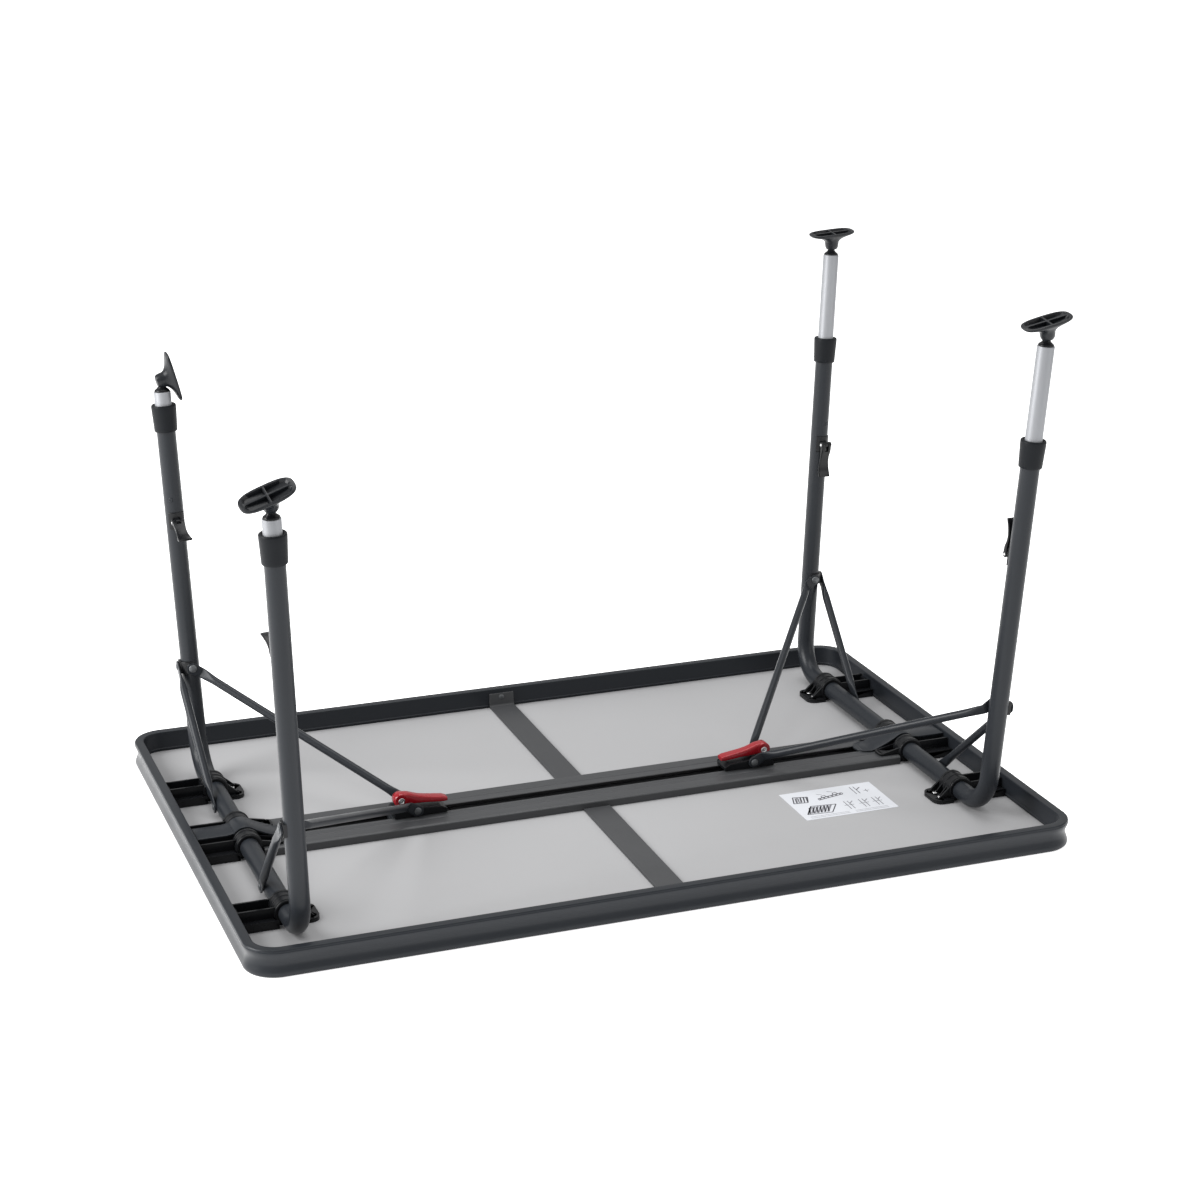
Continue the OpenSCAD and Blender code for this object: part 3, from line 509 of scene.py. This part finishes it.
screws.done("bracket_screws_fine", STEEL, "table", "bracket_screws", bevel=0.2)

STRAP_W, STRAP_T = 16.5, 1.8                    # half width and thickness
for side in SIDES:
    m = bracket_m(side, "centre")
    # the strap's underside, from the frame over the saddle and down to a round tip on the rail
    under = [(END_X, 27.0), (40, 27.0), (22, 27.0)]
    under += [(x * 0.985, z) for x, z in arc(SAD_R, 38, 112, 12, 0, HZ)]
    under += [(-14, 28.5), (-24, 23.6), (-34, 19.6), (-40, 17.0), (-46, RT + 0.05), (-52, RT), (-62.0, RT)]
    pts = []
    for i, (x, z) in enumerate(under):
        a = Vector(under[max(0, i - 1)])
        b = Vector(under[min(len(under) - 1, i + 1)])
        d = (b - a).normalized()
        pts.append((Vector((x, z)), Vector((-d.y, d.x))))
    rings = []
    fine = []
    for i in range(len(pts) - 1):
        for k in range(5 if i == len(pts) - 2 else 1):
            t = k / 5.0
            fine.append((pts[i][0].lerp(pts[i + 1][0], t), pts[i][1].lerp(pts[i + 1][1], t)))
    fine.append(pts[-1])
    tip = fine[-1][0].x
    for p, n in fine:
        n = n if n.y > 0 else -n
        d = min(p.x - tip, STRAP_W)
        w = math.sqrt(max(0.6, STRAP_W ** 2 - (STRAP_W - d) ** 2))
        o = p + n * STRAP_T
        c = min(0.5, w / 3)
        rings.append([(p.x, -w, p.y), (p.x, w, p.y), (o.x, w, o.y - c * 0.5), (o.x, w - c, o.y),
                      (o.x, -w + c, o.y), (o.x, -w, o.y - c * 0.5)])
    strap = Shape().loft(rings, m)
    strap.done(f"strap_{side}", PAINT, "table", "hinge_straps" if side == "left" else (), smooth=30)


# ---------------------------------------------------------------- leg frames
BEND_R = 45.0
DIMPLE_S = 348.0                                # along the leg
ARM_T = 2.5                                     # thickness of a flattened strut end
CLAMP_R = 14.0                                  # from the leg axis to the faces of the strut clamp
ARM_FOOT_Y = 121.0                              # where a short strut meets the hinge tube
for side in SIDES:
    body = f"leg_frame_{side}"
    hm = HINGE[side]
    turn = math.pi / 2 - SPLAY
    run = BEND_R * math.tan(turn / 2)
    path = arc(BEND_R, -90, math.degrees(turn) - 90, 24, HALF - run, BEND_R)
    path.append((HALF + TOP_OF_LEG * math.sin(SPLAY), TOP_OF_LEG * math.cos(SPLAY)))
    path = [(-y, z) for y, z in reversed(path)] + path
    path = [Vector(p) for p in path]
    last = len(path) - 1
    rings = []
    for i, p in enumerate(path):
        # both rings of a straight leg are square to it
        if i < 2:
            t = path[1] - path[0]
        elif i > last - 2:
            t = path[last] - path[last - 1]
        else:
            t = (p - path[i - 1]).normalized() + (path[i + 1] - p).normalized()
        n = Vector((0, -t.y, t.x)).normalized()
        rings.append(super_ring(Vector((0, p.x, p.y)), X, n, LEG_R, LEG_R, 1.0, 48))
    Shape().loft(rings, hm).done(f"leg_frame_tube_{side}", PAINT, body, f"leg_tube_{side}", smooth=50)

    collars, clamps, rivs = Shape(), Shape(), Shape()
    for end, sy in ENDS.items():
        key = f"{side}_{end}"
        lm = LEG[key]["m"]
        top = TOP_OF_LEG + 19
        low = TOP_OF_LEG - 14
        prof = [(LEG_R + 0.1, low), (13.3, low), (13.9, low + 0.8), (14.0, low + 3), (14.6, low + 17),
                (15.0, top - 8), (15.15, top - 2.2), (14.9, top - 0.9), (14.1, top - 0.1), (12.6, top),
                (11.6, top - 0.8), (10.55, top - 2.4), (10.55, TOP_OF_LEG + 1), (LEG_R + 0.1, TOP_OF_LEG)]
        collars.lathe(prof, lm, 56)
        # saddle of the strut pivot on the inner and outer quarters, with a boss and a flat pad
        lo, hi = STRUT_S - 7.8, STRUT_S + 7.8
        prof = [(LEG_R - 0.1, lo), (13.2, lo), (13.95, lo + 0.8), (13.95, hi - 0.8), (13.2, hi), (LEG_R - 0.1, hi)]
        sector(clamps, prof, -106, 16, lm)
        pin = Matrix.Translation((0, 0, STRUT_S)) @ Matrix.Rotation(math.radians(90), 4, "X")
        clamps.lathe([(0, 11), (7.0, 11), (7.0, 13.4), (6.4, 13.95), (0, 13.95)], lm @ pin, 32)
        # the pad's inner side follows the tube's wall, clear of its bore
        pad = [(8.82, -6.9), (13.9, -6.9), (13.9, 6.9), (8.82, 6.9), (10.64, 3.5), (11.2, 0), (10.64, -3.5)]
        clamps.prism(round_poly(pad, [0, 1.4, 1.4, 0, 0, 0, 0], 3), lo + 0.1, hi - 0.1, lm)
        # steel pivot pin with a domed head inside the leg frame
        prof = [(0, 13.5), (2.9, 13.5), (2.9, 17.2), (5.0, 17.3), (4.9, 18.2), (3.4, 19.2), (0, 19.5)]
        rivs.lathe(prof, lm @ pin, 28)
        # rivets of the short strut
        for p in ((CLAMP_R + ARM_T, STRUT_Y, STRUT_Z), (LEG_R + ARM_T, ARM_FOOT_Y, 0)):
            q = hm @ Matrix.Translation((p[0], sy * p[1], p[2])) @ Matrix.Rotation(math.radians(90), 4, "Y")
            dome(4.0, 1.6, q, rivs, 28)
    collars.done(f"collars_{side}", BLACK_SATIN, body, f"leg_collars_{side}", smooth=40)
    clamps.done(f"clamps_{side}", BLACK, body, f"strut_clamps_{side}", bevel=0.3, smooth=40)
    rivs.done(f"strut_rivets_{side}_fine", STEEL_DARK, body, f"strut_rivets_{side}", smooth=50)
    # pressed dimple above each cam, which stops the inner tube
    marks = Shape()
    for end, sy in ENDS.items():
        lm = LEG[f"{side}_{end}"]["m"]
        q = lm @ Matrix.Rotation(math.radians(25 * sy), 4, "Z") \
            @ Matrix.Translation((0, -LEG_R + 0.35, DIMPLE_S)) @ Matrix.Rotation(math.radians(90), 4, "X")
        marks.lathe([(0, -0.5), (3.2, -0.5), (3.0, 0.1), (2.5, 0.8), (1.5, 1.1), (0.7, 0.7), (0, 0.6)], q, 28)
    marks.done(f"leg_dimples_{side}", PAINT, body, smooth=60)


# ---------------------------------------------------------------- struts
def strut(shape, a, b, normal, r=5.0, eye=7.4, thick=ARM_T, flat=12.0, blend=24.0):
    """Tube from eye a to eye b, flattened smoothly to a plate with round ends across normal."""
    a, b, normal = Vector(a), Vector(b), Vector(normal).normalized()
    run = b - a
    level = (run - normal * run.dot(normal)).normalized()
    u = ((b - level * flat) - (a + level * flat)).normalized()

    def end_rings(p, lv, ax):
        """Rings as (centre, width axis, thickness axis, half width, half thickness, squareness)."""
        w_dir = normal.cross(lv).normalized()
        out = []
        for i in range(9):
            t = math.pi * (0.04 + 0.46 * i / 8)
            out.append((p - lv * (eye * math.cos(t)), w_dir, normal, eye * math.sin(t), thick / 2, 0.42))
        out.append((p + lv * flat * 0.45, w_dir, normal, eye * 0.93, thick / 2, 0.42))
        out.append((p + lv * flat, w_dir, normal, eye * 0.86, thick / 2, 0.45))
        q = p + lv * flat
        n2 = (normal - ax * normal.dot(ax)).normalized()
        for i in range(1, 9):
            t = i / 8.0
            s = smooth_step(t)
            m_dir = normal.lerp(n2, min(1.0, 3 * t)).normalized()
            out.append((q + ax * (blend * t), w_dir, m_dir, eye * 0.86 * (1 - s) + r * s,
                        thick / 2 * (1 - s) + r * s, 0.45 * (1 - s) + 1.0 * s))
        return out

    first = end_rings(a, level, u)
    last = end_rings(b, -level, -u)
    # the far rings turn the same way round as the near ones
    w0 = first[-1][1]
    last = [(c, -w if w.dot(w0) < 0 else w, n, hu, hv, e) for c, w, n, hu, hv, e in reversed(last)]
    shape.loft([super_ring(*ring) for ring in first + last])


SLIDER_W = 14.5                                 # half width of a slider
GAP = 0.4                                       # between a long strut's end and what it turns against
for side in SIDES:
    hm = HINGE[side]
    arm = Shape()
    for sy in (-1, 1):
        top = hm @ Vector((CLAMP_R + ARM_T / 2, sy * STRUT_Y, STRUT_Z))
        foot = hm @ Vector((LEG_R + ARM_T / 2, sy * ARM_FOOT_Y, 0))
        strut(arm, top, foot, hm.to_3x3() @ X)
    arm.done(f"short_struts_{side}_fine", PAINT, f"leg_frame_{side}", f"short_struts_{side}", smooth=40)
    pivot = mm(JOINTS[f"strut_turn_{side}"]["pos_m"])
    lo, hi = (mm(p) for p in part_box(f"strut_end_rivets_{side}"))
    eye_b = (lo + hi) / 2
    body = f"long_struts_{side}"
    caps = Shape()
    for end, sy in ENDS.items():
        ya = hm.translation.y + sy * (STRUT_Y - CLAMP_R - GAP - ARM_T / 2)
        yb = sy * (SLIDER_W + GAP + ARM_T / 2)
        s = Shape()
        strut(s, (pivot.x, ya, pivot.z), (eye_b.x, yb, eye_b.z), Y)
        s.done(f"long_strut_{side}_{end}_fine", PAINT, body, f"long_strut_{side}_{end}", smooth=40)
        face = Matrix.Translation((eye_b.x, yb + sy * 1.2, eye_b.z))
        dome(4.6, 1.7, face @ Matrix.Rotation(math.radians(-90 * sy), 4, "X"), caps, 28)
    caps.done(f"strut_end_caps_{side}", STEEL_DARK, body, f"strut_end_rivets_{side}", smooth=50)


# ---------------------------------------------------------------- leg cams
CAM_REST = {"left": 72.0, "right": 0.0}         # how far the levers stand open in the photo
for side in SIDES:
    housings, pins = Shape(), Shape()
    for end in ENDS:
        key = f"{side}_{end}"
        pin = mm(JOINTS[f"cam_clamp_{key}"]["pos_m"])
        lm = LEG[key]["m"]
        up = LEG[key]["up"]
        axis_pt = lm.translation + up * (pin - lm.translation).dot(up)
        out = (pin - axis_pt).normalized()
        far = (pin - axis_pt).length
        across = out.cross(up).normalized()
        tail = up * (1 if end == "front" else -1)
        # frame of the housing: x across, y outwards from the leg, z up the leg, origin on the leg axis
        q = axes(across, out, up, axis_pt)
        prof = [(LEG_R - 0.1, -10.9), (12.2, -10.9), (12.7, -10.2), (12.7, 10.2), (12.2, 10.9),
                (LEG_R - 0.1, 10.9)]
        sector(housings, prof, 41, 139, q)
        lug = [(11.4, -5.0), (far - 2.4, -3.5)] + arc(3.5, -75, 75, 8, far) + [(far - 2.4, 3.5), (11.4, 5.0)]
        housings.prism(lug, -2.4, 2.4, q, axis="x")
        for s in (-1, 1):
            c = q @ Matrix.Translation((s * 7.3, far, 0)) @ Matrix.Rotation(math.radians(90 * s), 4, "Y")
            pins.lathe([(0, -4.6), (1.78, -4.6), (1.78, 0.35), (1.45, 0.65), (0, 0.7)], c, 28)
        # lever: two cheeks round the lug and a tail that widens to a turned-up end;
        # its frame has x across, y outwards and z along the tail when closed
        lev = axes(across, out, tail, pin) @ Matrix.Rotation(math.radians(-CAM_REST[side]), 4, "X")
        outer_side = [(0, 3.9), (4, 3.9), (8, 3.5), (12, 2.3), (16, 1.0), (21, 0.1), (26, -0.5), (31, -0.6),
                      (36, 0.1), (40, 1.4), (43, 2.8), (43.7, 3.1)]
        inner_side = [(0, -2.9), (4, -2.5), (8, -2.3), (12, -2.4), (16, -3.2), (21, -3.7), (26, -4.0),
                      (31, -3.9), (36, -3.2), (40, -2.0), (43.4, -0.4), (44.0, 0.8)]
        half_width = [7.3, 7.3, 7.2, 7.0, 6.6, 6.7, 7.2, 7.9, 8.4, 8.7, 8.5, 7.6]
        rings = []
        for (z1, y1), (z0, y0), w in zip(outer_side, inner_side, half_width):
            c = Vector((0, (y0 + y1) / 2, (z0 + z1) / 2))
            v = Vector((0, y1 - y0, z1 - z0))
            rings.append(super_ring(c, X, v.normalized(), w, max(0.5, v.length / 2), 0.4, 32))
        s = Shape().loft(rings, lev)
        ob = s.done(f"cam_lever_{key}_fine", BLACK, f"cam_lever_{key}", f"cam_lever_{key}", smooth=45)
        cut(ob, Shape().box((-2.8, -20, -9), (2.8, 20, 9)), lev)
        s = Shape()
        for k in (-1, 1):
            s.rod((k * 2.85, 0, 0), (k * 7.4, 0, 0), 3.95, lev, 36, 0.5)
        s.done(f"cam_cheeks_{key}", BLACK, f"cam_lever_{key}", smooth=45)
    body = f"leg_frame_{side}"
    housings.done(f"cam_housings_{side}_fine", BLACK, body, f"cam_housings_{side}", bevel=0.3, smooth=40)
    pins.done(f"cam_pins_{side}_fine", STEEL, body, f"cam_pins_{side}", smooth=40)


# ---------------------------------------------------------------- telescopes and feet
BALL_UP = 13.5                                  # ball centre above the end of the inner tube
BALL_R = 6.0
TUBE_LENGTH = 345.0
# how each foot hangs on its ball in the photo, in degrees about y and then x
FOOT_TILT = {"left_front": 18.0, "left_back": -78.0, "right_front": -15.4, "right_back": -6.8}
FOOT_ROLL = {"left_front": -26.0, "left_back": 0.0, "right_front": -7.0, "right_back": 7.0}
for side in SIDES:
    for end in ENDS:
        key = f"{side}_{end}"
        lm = LEG[key]["m"]
        ball = LEG[key]["ball"]
        tip = lm @ Matrix.Translation((0, 0, ball - BALL_UP))
        low = -TUBE_LENGTH
        s = Shape()
        s.lathe([(0, low), (TUBE_R - 0.6, low), (TUBE_R, low + 0.6), (TUBE_R, -0.6), (TUBE_R - 0.3, -0.1),
                 (9.0, 0), (9.0, -3), (0, -3)], tip, 56)
        s.done(f"inner_tube_{key}_fine", SILVER, f"telescope_{key}", f"inner_tube_{key}", smooth=40)
        # plug with a flange, a neck that flares down to it, and the ball
        stud = [(0, -12), (8.8, -12), (8.8, 0), (9.2, 0.2), (9.3, 0.9), (8.9, 1.9), (7.6, 2.9), (6.3, 3.9),
                (5.2, 5.1), (4.4, 6.4), (4.1, 7.6)]
        stud += arc(BALL_R, -47, 90, 12, 0, BALL_UP)[:-1] + [(0, BALL_UP + BALL_R)]
        s = Shape().lathe(stud, tip, 40)
        s.done(f"foot_stud_{key}_fine", BLACK, f"telescope_{key}", f"foot_stud_{key}", smooth=40)
        q = lm @ Matrix.Translation((0, 0, ball)) @ Matrix.Rotation(math.radians(FOOT_TILT[key]), 4, "Y") \
            @ Matrix.Rotation(math.radians(FOOT_ROLL[key]), 4, "X")
        # hub, flared body and sole rim, as (height over the ball, half length, half width, squareness)
        sec = [(-6.2, 5.2, 5.0, 1.0), (-5.4, 7.2, 7.0, 1.0), (-3.0, 8.5, 8.3, 1.0), (1, 9.0, 9.0, 1.0),
               (4, 9.3, 9.4, 1.0), (5.6, 10.3, 9.8, 0.98), (7.2, 12.0, 10.3, 0.95), (8.8, 14.4, 11.0, 0.90),
               (10.2, 17.6, 11.8, 0.84), (11.6, 22.0, 12.8, 0.77), (12.7, 26.2, 13.6, 0.72),
               (13.6, 29.2, 14.3, 0.69), (14.5, 30.6, 14.8, 0.67), (15.6, 30.95, 14.95, 0.66),
               (16.6, 30.7, 14.8, 0.66), (17.0, 29.9, 14.3, 0.66)]
        rings = [super_ring(Z * z, X, Y, hx, hy, e, 64) for z, hx, hy, e in sec]
        ob = Shape().loft(rings, q).done(f"foot_{key}_fine", RUBBER, f"foot_{key}", f"foot_{key}", smooth=38)
        pockets = Shape()
        for px in (-1, 1):
            for py in (-1, 1):
                poly = [(px * 1.1, py * 1.2), (px * 26, py * 1.2), (px * 28.2, py * 4.0), (px * 26, py * 9.6),
                        (px * 20, py * 12.2), (px * 1.1, py * 12.6)]
                poly = round_poly(poly, [0.8, 1.5, 2, 4, 3, 0.8], 5)
                bed = [(x * 0.84 + px * 0.3, y * 0.78 + py * 0.4, 12.0 + 2.8 * (x / 28.0) ** 2)
                       for x, y in poly]
                pockets.loft([bed, [(x, y, 18.5) for x, y in poly]])
        cut(ob, pockets, q)
        b = ob.modifiers.new("bevel", "BEVEL")
        b.width, b.segments, b.limit_method, b.angle_limit = 0.35 * MM, 2, "ANGLE", math.radians(45)


# ---------------------------------------------------------------- sliders
for side, sx in SIDES.items():
    lo, hi = (mm(p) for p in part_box(f"strut_end_rivets_{side}"))
    pivot_x = (lo.x + hi.x) / 2
    # x inwards along the rail, origin at the strut pivot
    m = axes(X * -sx, Y, Z, X * pivot_x)
    lever = m @ Matrix.Translation((-17, 0, 36))
    body = f"slider_{side}"
    low = RT + 0.3
    s = Shape()
    prof = round_poly([(-28, low), (38.4, low), (38.4, 21.5), (31, 25), (8, 26.6), (-26, 26.6), (-28, 24.5)],
                      [1, 1, 1.5, 4, 4, 1, 1], 4)
    # the sides draw in towards the nose
    s.loft([[(x, sy * (SLIDER_W - 0.1 - max(0, x - 30) * 0.18), z) for x, z in prof] for sy in (-1, 1)], m)
    for sy in (-1, 1):
        s.rod((0, sy * 12, 25), (0, sy * 14.45, 25), 6.4, m, 28, 0.4)
        y0, y1 = sorted((sy * 13.0, sy * 14.45))
        edge = [(-14, 25), (8, 25.4), (31, 24), (38.2, 20.6), (38.2, 22.4), (31, 26.0), (8, 27.6),
                (-14, 27.4)]
        s.prism(round_poly(edge, 0.5, 2), y0, y1, m, axis="y")
    s.done(f"slider_body_{side}_fine", BLACK, body, f"slider_body_{side}", bevel=0.5)
    s = Shape()
    s.box((-31, -20, 7.9), (15, 20, 14.6), m)
    s.box((-29, -8.7, 7.9), (13, 8.7, RT + 0.25), m)
    s.done(f"slider_nut_{side}_fine", PAINT_DARK, body, f"slider_nut_{side}", bevel=0.4)
    s = Shape()
    for sy in (-1, 1):
        q = lever @ Matrix.Translation((0, sy * 6.9, 0)) @ Matrix.Rotation(math.radians(-90 * sy), 4, "X")
        s.lathe([(0, -1), (4.0, -1), (4.0, 0.55), (3.6, 1.0), (2.5, 1.0), (2.1, 0.5), (1.2, 0.5), (0.9, 0.75),
                 (0, 0.8)], q, 32)
    s.done(f"slider_pin_{side}_fine", STEEL, body, f"slider_pin_{side}", smooth=40)
    s = Shape()
    s.rod((0, -6.9, 0), (0, 6.9, 0), 8.9, lever, 48, 1.2)
    # stations of the lever as (x, top, bottom, half width)
    sec = [(0, 8.8, -4.0, 6.6), (5, 8.7, -5.2, 6.7), (10, 7.9, -5.6, 6.7), (16, 5.7, -6.2, 6.5),
           (22, 3.6, -6.4, 6.3), (30, 1.9, -6.5, 6.4), (38, 0.6, -7.2, 6.7), (46, -0.6, -7.8, 6.9),
           (53, -1.6, -8.3, 6.95), (57.5, -3.4, -7.8, 6.4)]
    rings = [super_ring(Vector((x, 0, (z0 + z1) / 2)), Y, Z, w, (z1 - z0) / 2, 0.42, 32)
             for x, z1, z0, w in sec]
    s.loft(rings, lever)
    s.done(f"slider_lever_{side}_fine", RED, f"slider_lever_{side}", f"slider_lever_{side}", smooth=45)


# ---------------------------------------------------------------- label with generic pictograms
lo, hi = (mm(p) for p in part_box("instruction_label"))
ink, soft = Shape(), Shape()
INK_Z = hi.z - 0.05


def line(shape, a, b, w=0.8):
    """Flat stroke between two points, in millimetres from the label's corner."""
    a, b = Vector(a), Vector(b)
    d = (b - a).normalized()
    n = Vector((-d.y, d.x)) * w / 2
    pts = [a - n, b - n, b + n, a + n]
    shape.prism([(lo.x + p.x, lo.y + p.y) for p in pts], INK_Z, INK_Z + 0.08)


def outline(shape, pts, w=0.8):
    for i in range(len(pts)):
        line(shape, pts[i], pts[(i + 1) % len(pts)], w)


# upper left: folded table with straps
outline(ink, [(6, 52), (24, 50), (30, 66), (12, 70)], 1.6)
for i in range(5):
    line(ink, (10 + i * 3.6, 53), (14 + i * 3.6, 67), 1.3)
for t in (0.25, 0.5, 0.75):
    line(soft, (6 + 18 * t, 52 - 2 * t), (12 + 18 * t, 70 - 4 * t), 1.6)
# upper middle: long rail with two clamps and two short strokes over it
line(ink, (40, 52), (76, 60), 1.6)
line(ink, (40, 56), (76, 64), 1.6)
for i in range(6):
    line(soft, (42 + i * 6, 53.5 + i * 1.3), (43.5 + i * 6, 57 + i * 1.3), 2.2)
line(ink, (40, 52), (40, 56), 0.8)
line(ink, (76, 60), (76, 64), 0.8)
outline(ink, [(46, 57), (53, 58.6), (52, 64), (47, 62)], 1.0)
outline(ink, [(63, 61), (70, 62.6), (69, 68), (64, 66)], 1.0)
line(soft, (44, 70), (50, 66), 1.0)
line(soft, (60, 74), (66, 70), 1.0)
# upper right: leg with its clamp, and a plus sign
line(ink, (92, 54), (92, 76), 1.0)
line(ink, (97, 54), (97, 76), 1.0)
line(ink, (97, 66), (104, 72), 1.4)
line(ink, (104, 60), (112, 60), 0.8)
line(ink, (108, 56), (108, 64), 0.8)
# lower row: open table seen from above, three leg pictures, and rules below them
for i in range(7):
    line(soft, (10 + i * 4.2, 18 - i * 0.3), (22 + i * 4.2, 36 - i * 0.3), 2.6)
outline(ink, [(8, 16), (40, 13), (54, 34), (22, 38)], 1.5)
for i in range(6):
    line(ink, (12 + i * 5, 17), (18 + i * 5, 34), 1.6)
for x in (66, 86, 104):
    line(ink, (x, 14), (x, 38), 0.9)
    line(ink, (x + 5, 14), (x + 5, 38), 0.9)
    line(ink, (x - 4, 26), (x + 9, 26), 0.8)
    line(soft, (x + 5, 30), (x + 11, 36), 1.4)
for y in (8, 4.5):
    line(soft, (8, y), (60, y), 0.7)
    line(soft, (68, y), (112, y), 0.7)
ink.done("label_lines", INK, "table")
soft.done("label_tones", INK_SOFT, "table")

# ---------------------------------------------------------------- materials of the CAD nodes
SLOT_MATERIALS = {"frame_anthracite": PAINT, "frame_aluminium": PAINT, "panel_laminate": LAMINATE,
                  "bar_metal": BAR, "black_plastic": BLACK, "anodised_tube": SILVER, "steel": STEEL,
                  "red_plastic": RED, "label": LABEL}
SLOT_OF = {p["node"]: p["material_slot"] for p in frame["record"]["subparts"]}
for name, ob in frame["nodes"].items():
    for cad_slot in ob.material_slots:
        cad_slot.material = SLOT_MATERIALS[SLOT_OF[name]]

# ---------------------------------------------------------------- floor, light and camera
scene = bpy.context.scene
floor_mat = bpy.data.materials.new("floor")
floor_mat.use_nodes = True
fp = floor_mat.node_tree.nodes["Principled BSDF"]
fp.inputs["Base Color"].default_value = (0.93, 0.93, 0.93, 1)
fp.inputs["Roughness"].default_value = 0.95
fp.inputs["Emission Color"].default_value = (1, 1, 1, 1)
fp.inputs["Emission Strength"].default_value = 0.78
me = bpy.data.meshes.new("floor")
FLOOR_HALF, FLOOR_Z = 60, -0.0005
corners = [(x * FLOOR_HALF, y * FLOOR_HALF, FLOOR_Z) for x, y in ((-1, -1), (1, -1), (1, 1), (-1, 1))]
me.from_pydata(corners, [], [(0, 1, 2, 3)])
me.materials.append(floor_mat)
floor = bpy.data.objects.new("floor", me)
scene.collection.objects.link(floor)

world = bpy.data.worlds.new("studio")
scene.world = world
world.use_nodes = True
bg = world.node_tree.nodes["Background"]
bg.inputs["Color"].default_value = (1.0, 1.0, 1.0, 1)
bg.inputs["Strength"].default_value = 0.55


def area(name, loc, target, size, power):
    """White rectangular light that faces a target."""
    d = bpy.data.lights.new(name, "AREA")
    d.shape = "RECTANGLE"
    d.size, d.size_y = size
    d.energy = power
    ob = bpy.data.objects.new(name, d)
    scene.collection.objects.link(ob)
    ob.location = loc
    ob.rotation_euler = (Vector(target) - Vector(loc)).to_track_quat("-Z", "Y").to_euler()


area("key_left", (-3.2, 0.2, 1.9), (0, 0, 0.3), (2.0, 2.4), 150)
area("top_soft", (0.2, 0.6, 3.4), (0, 0, 0.2), (2.6, 2.6), 60)
area("fill_right", (2.6, -2.4, 1.6), (0, 0, 0.3), (1.6, 1.6), 18)

cam_data = bpy.data.cameras.new("camera")
cam_data.sensor_width = 36.0
cam_data.lens = 77.207
cam_data.clip_end = 300
cam_data.dof.use_dof = False
cam = bpy.data.objects.new("camera", cam_data)
scene.collection.objects.link(cam)
AZ, EL, DISTANCE = math.radians(-20.373), math.radians(18.677), 2.7312
back = Vector((math.sin(AZ) * math.cos(EL), -math.cos(AZ) * math.cos(EL), math.sin(EL)))
right = Vector((math.cos(AZ), math.sin(AZ), 0))
target = Vector((-0.1046, -0.3370, 0.3805))
cam.matrix_world = axes(right, back.cross(right), back, target + back * DISTANCE)
scene.camera = cam
scene.view_settings.view_transform = "Standard"
scene.view_settings.look = "None"

bpy.context.view_layer.update()
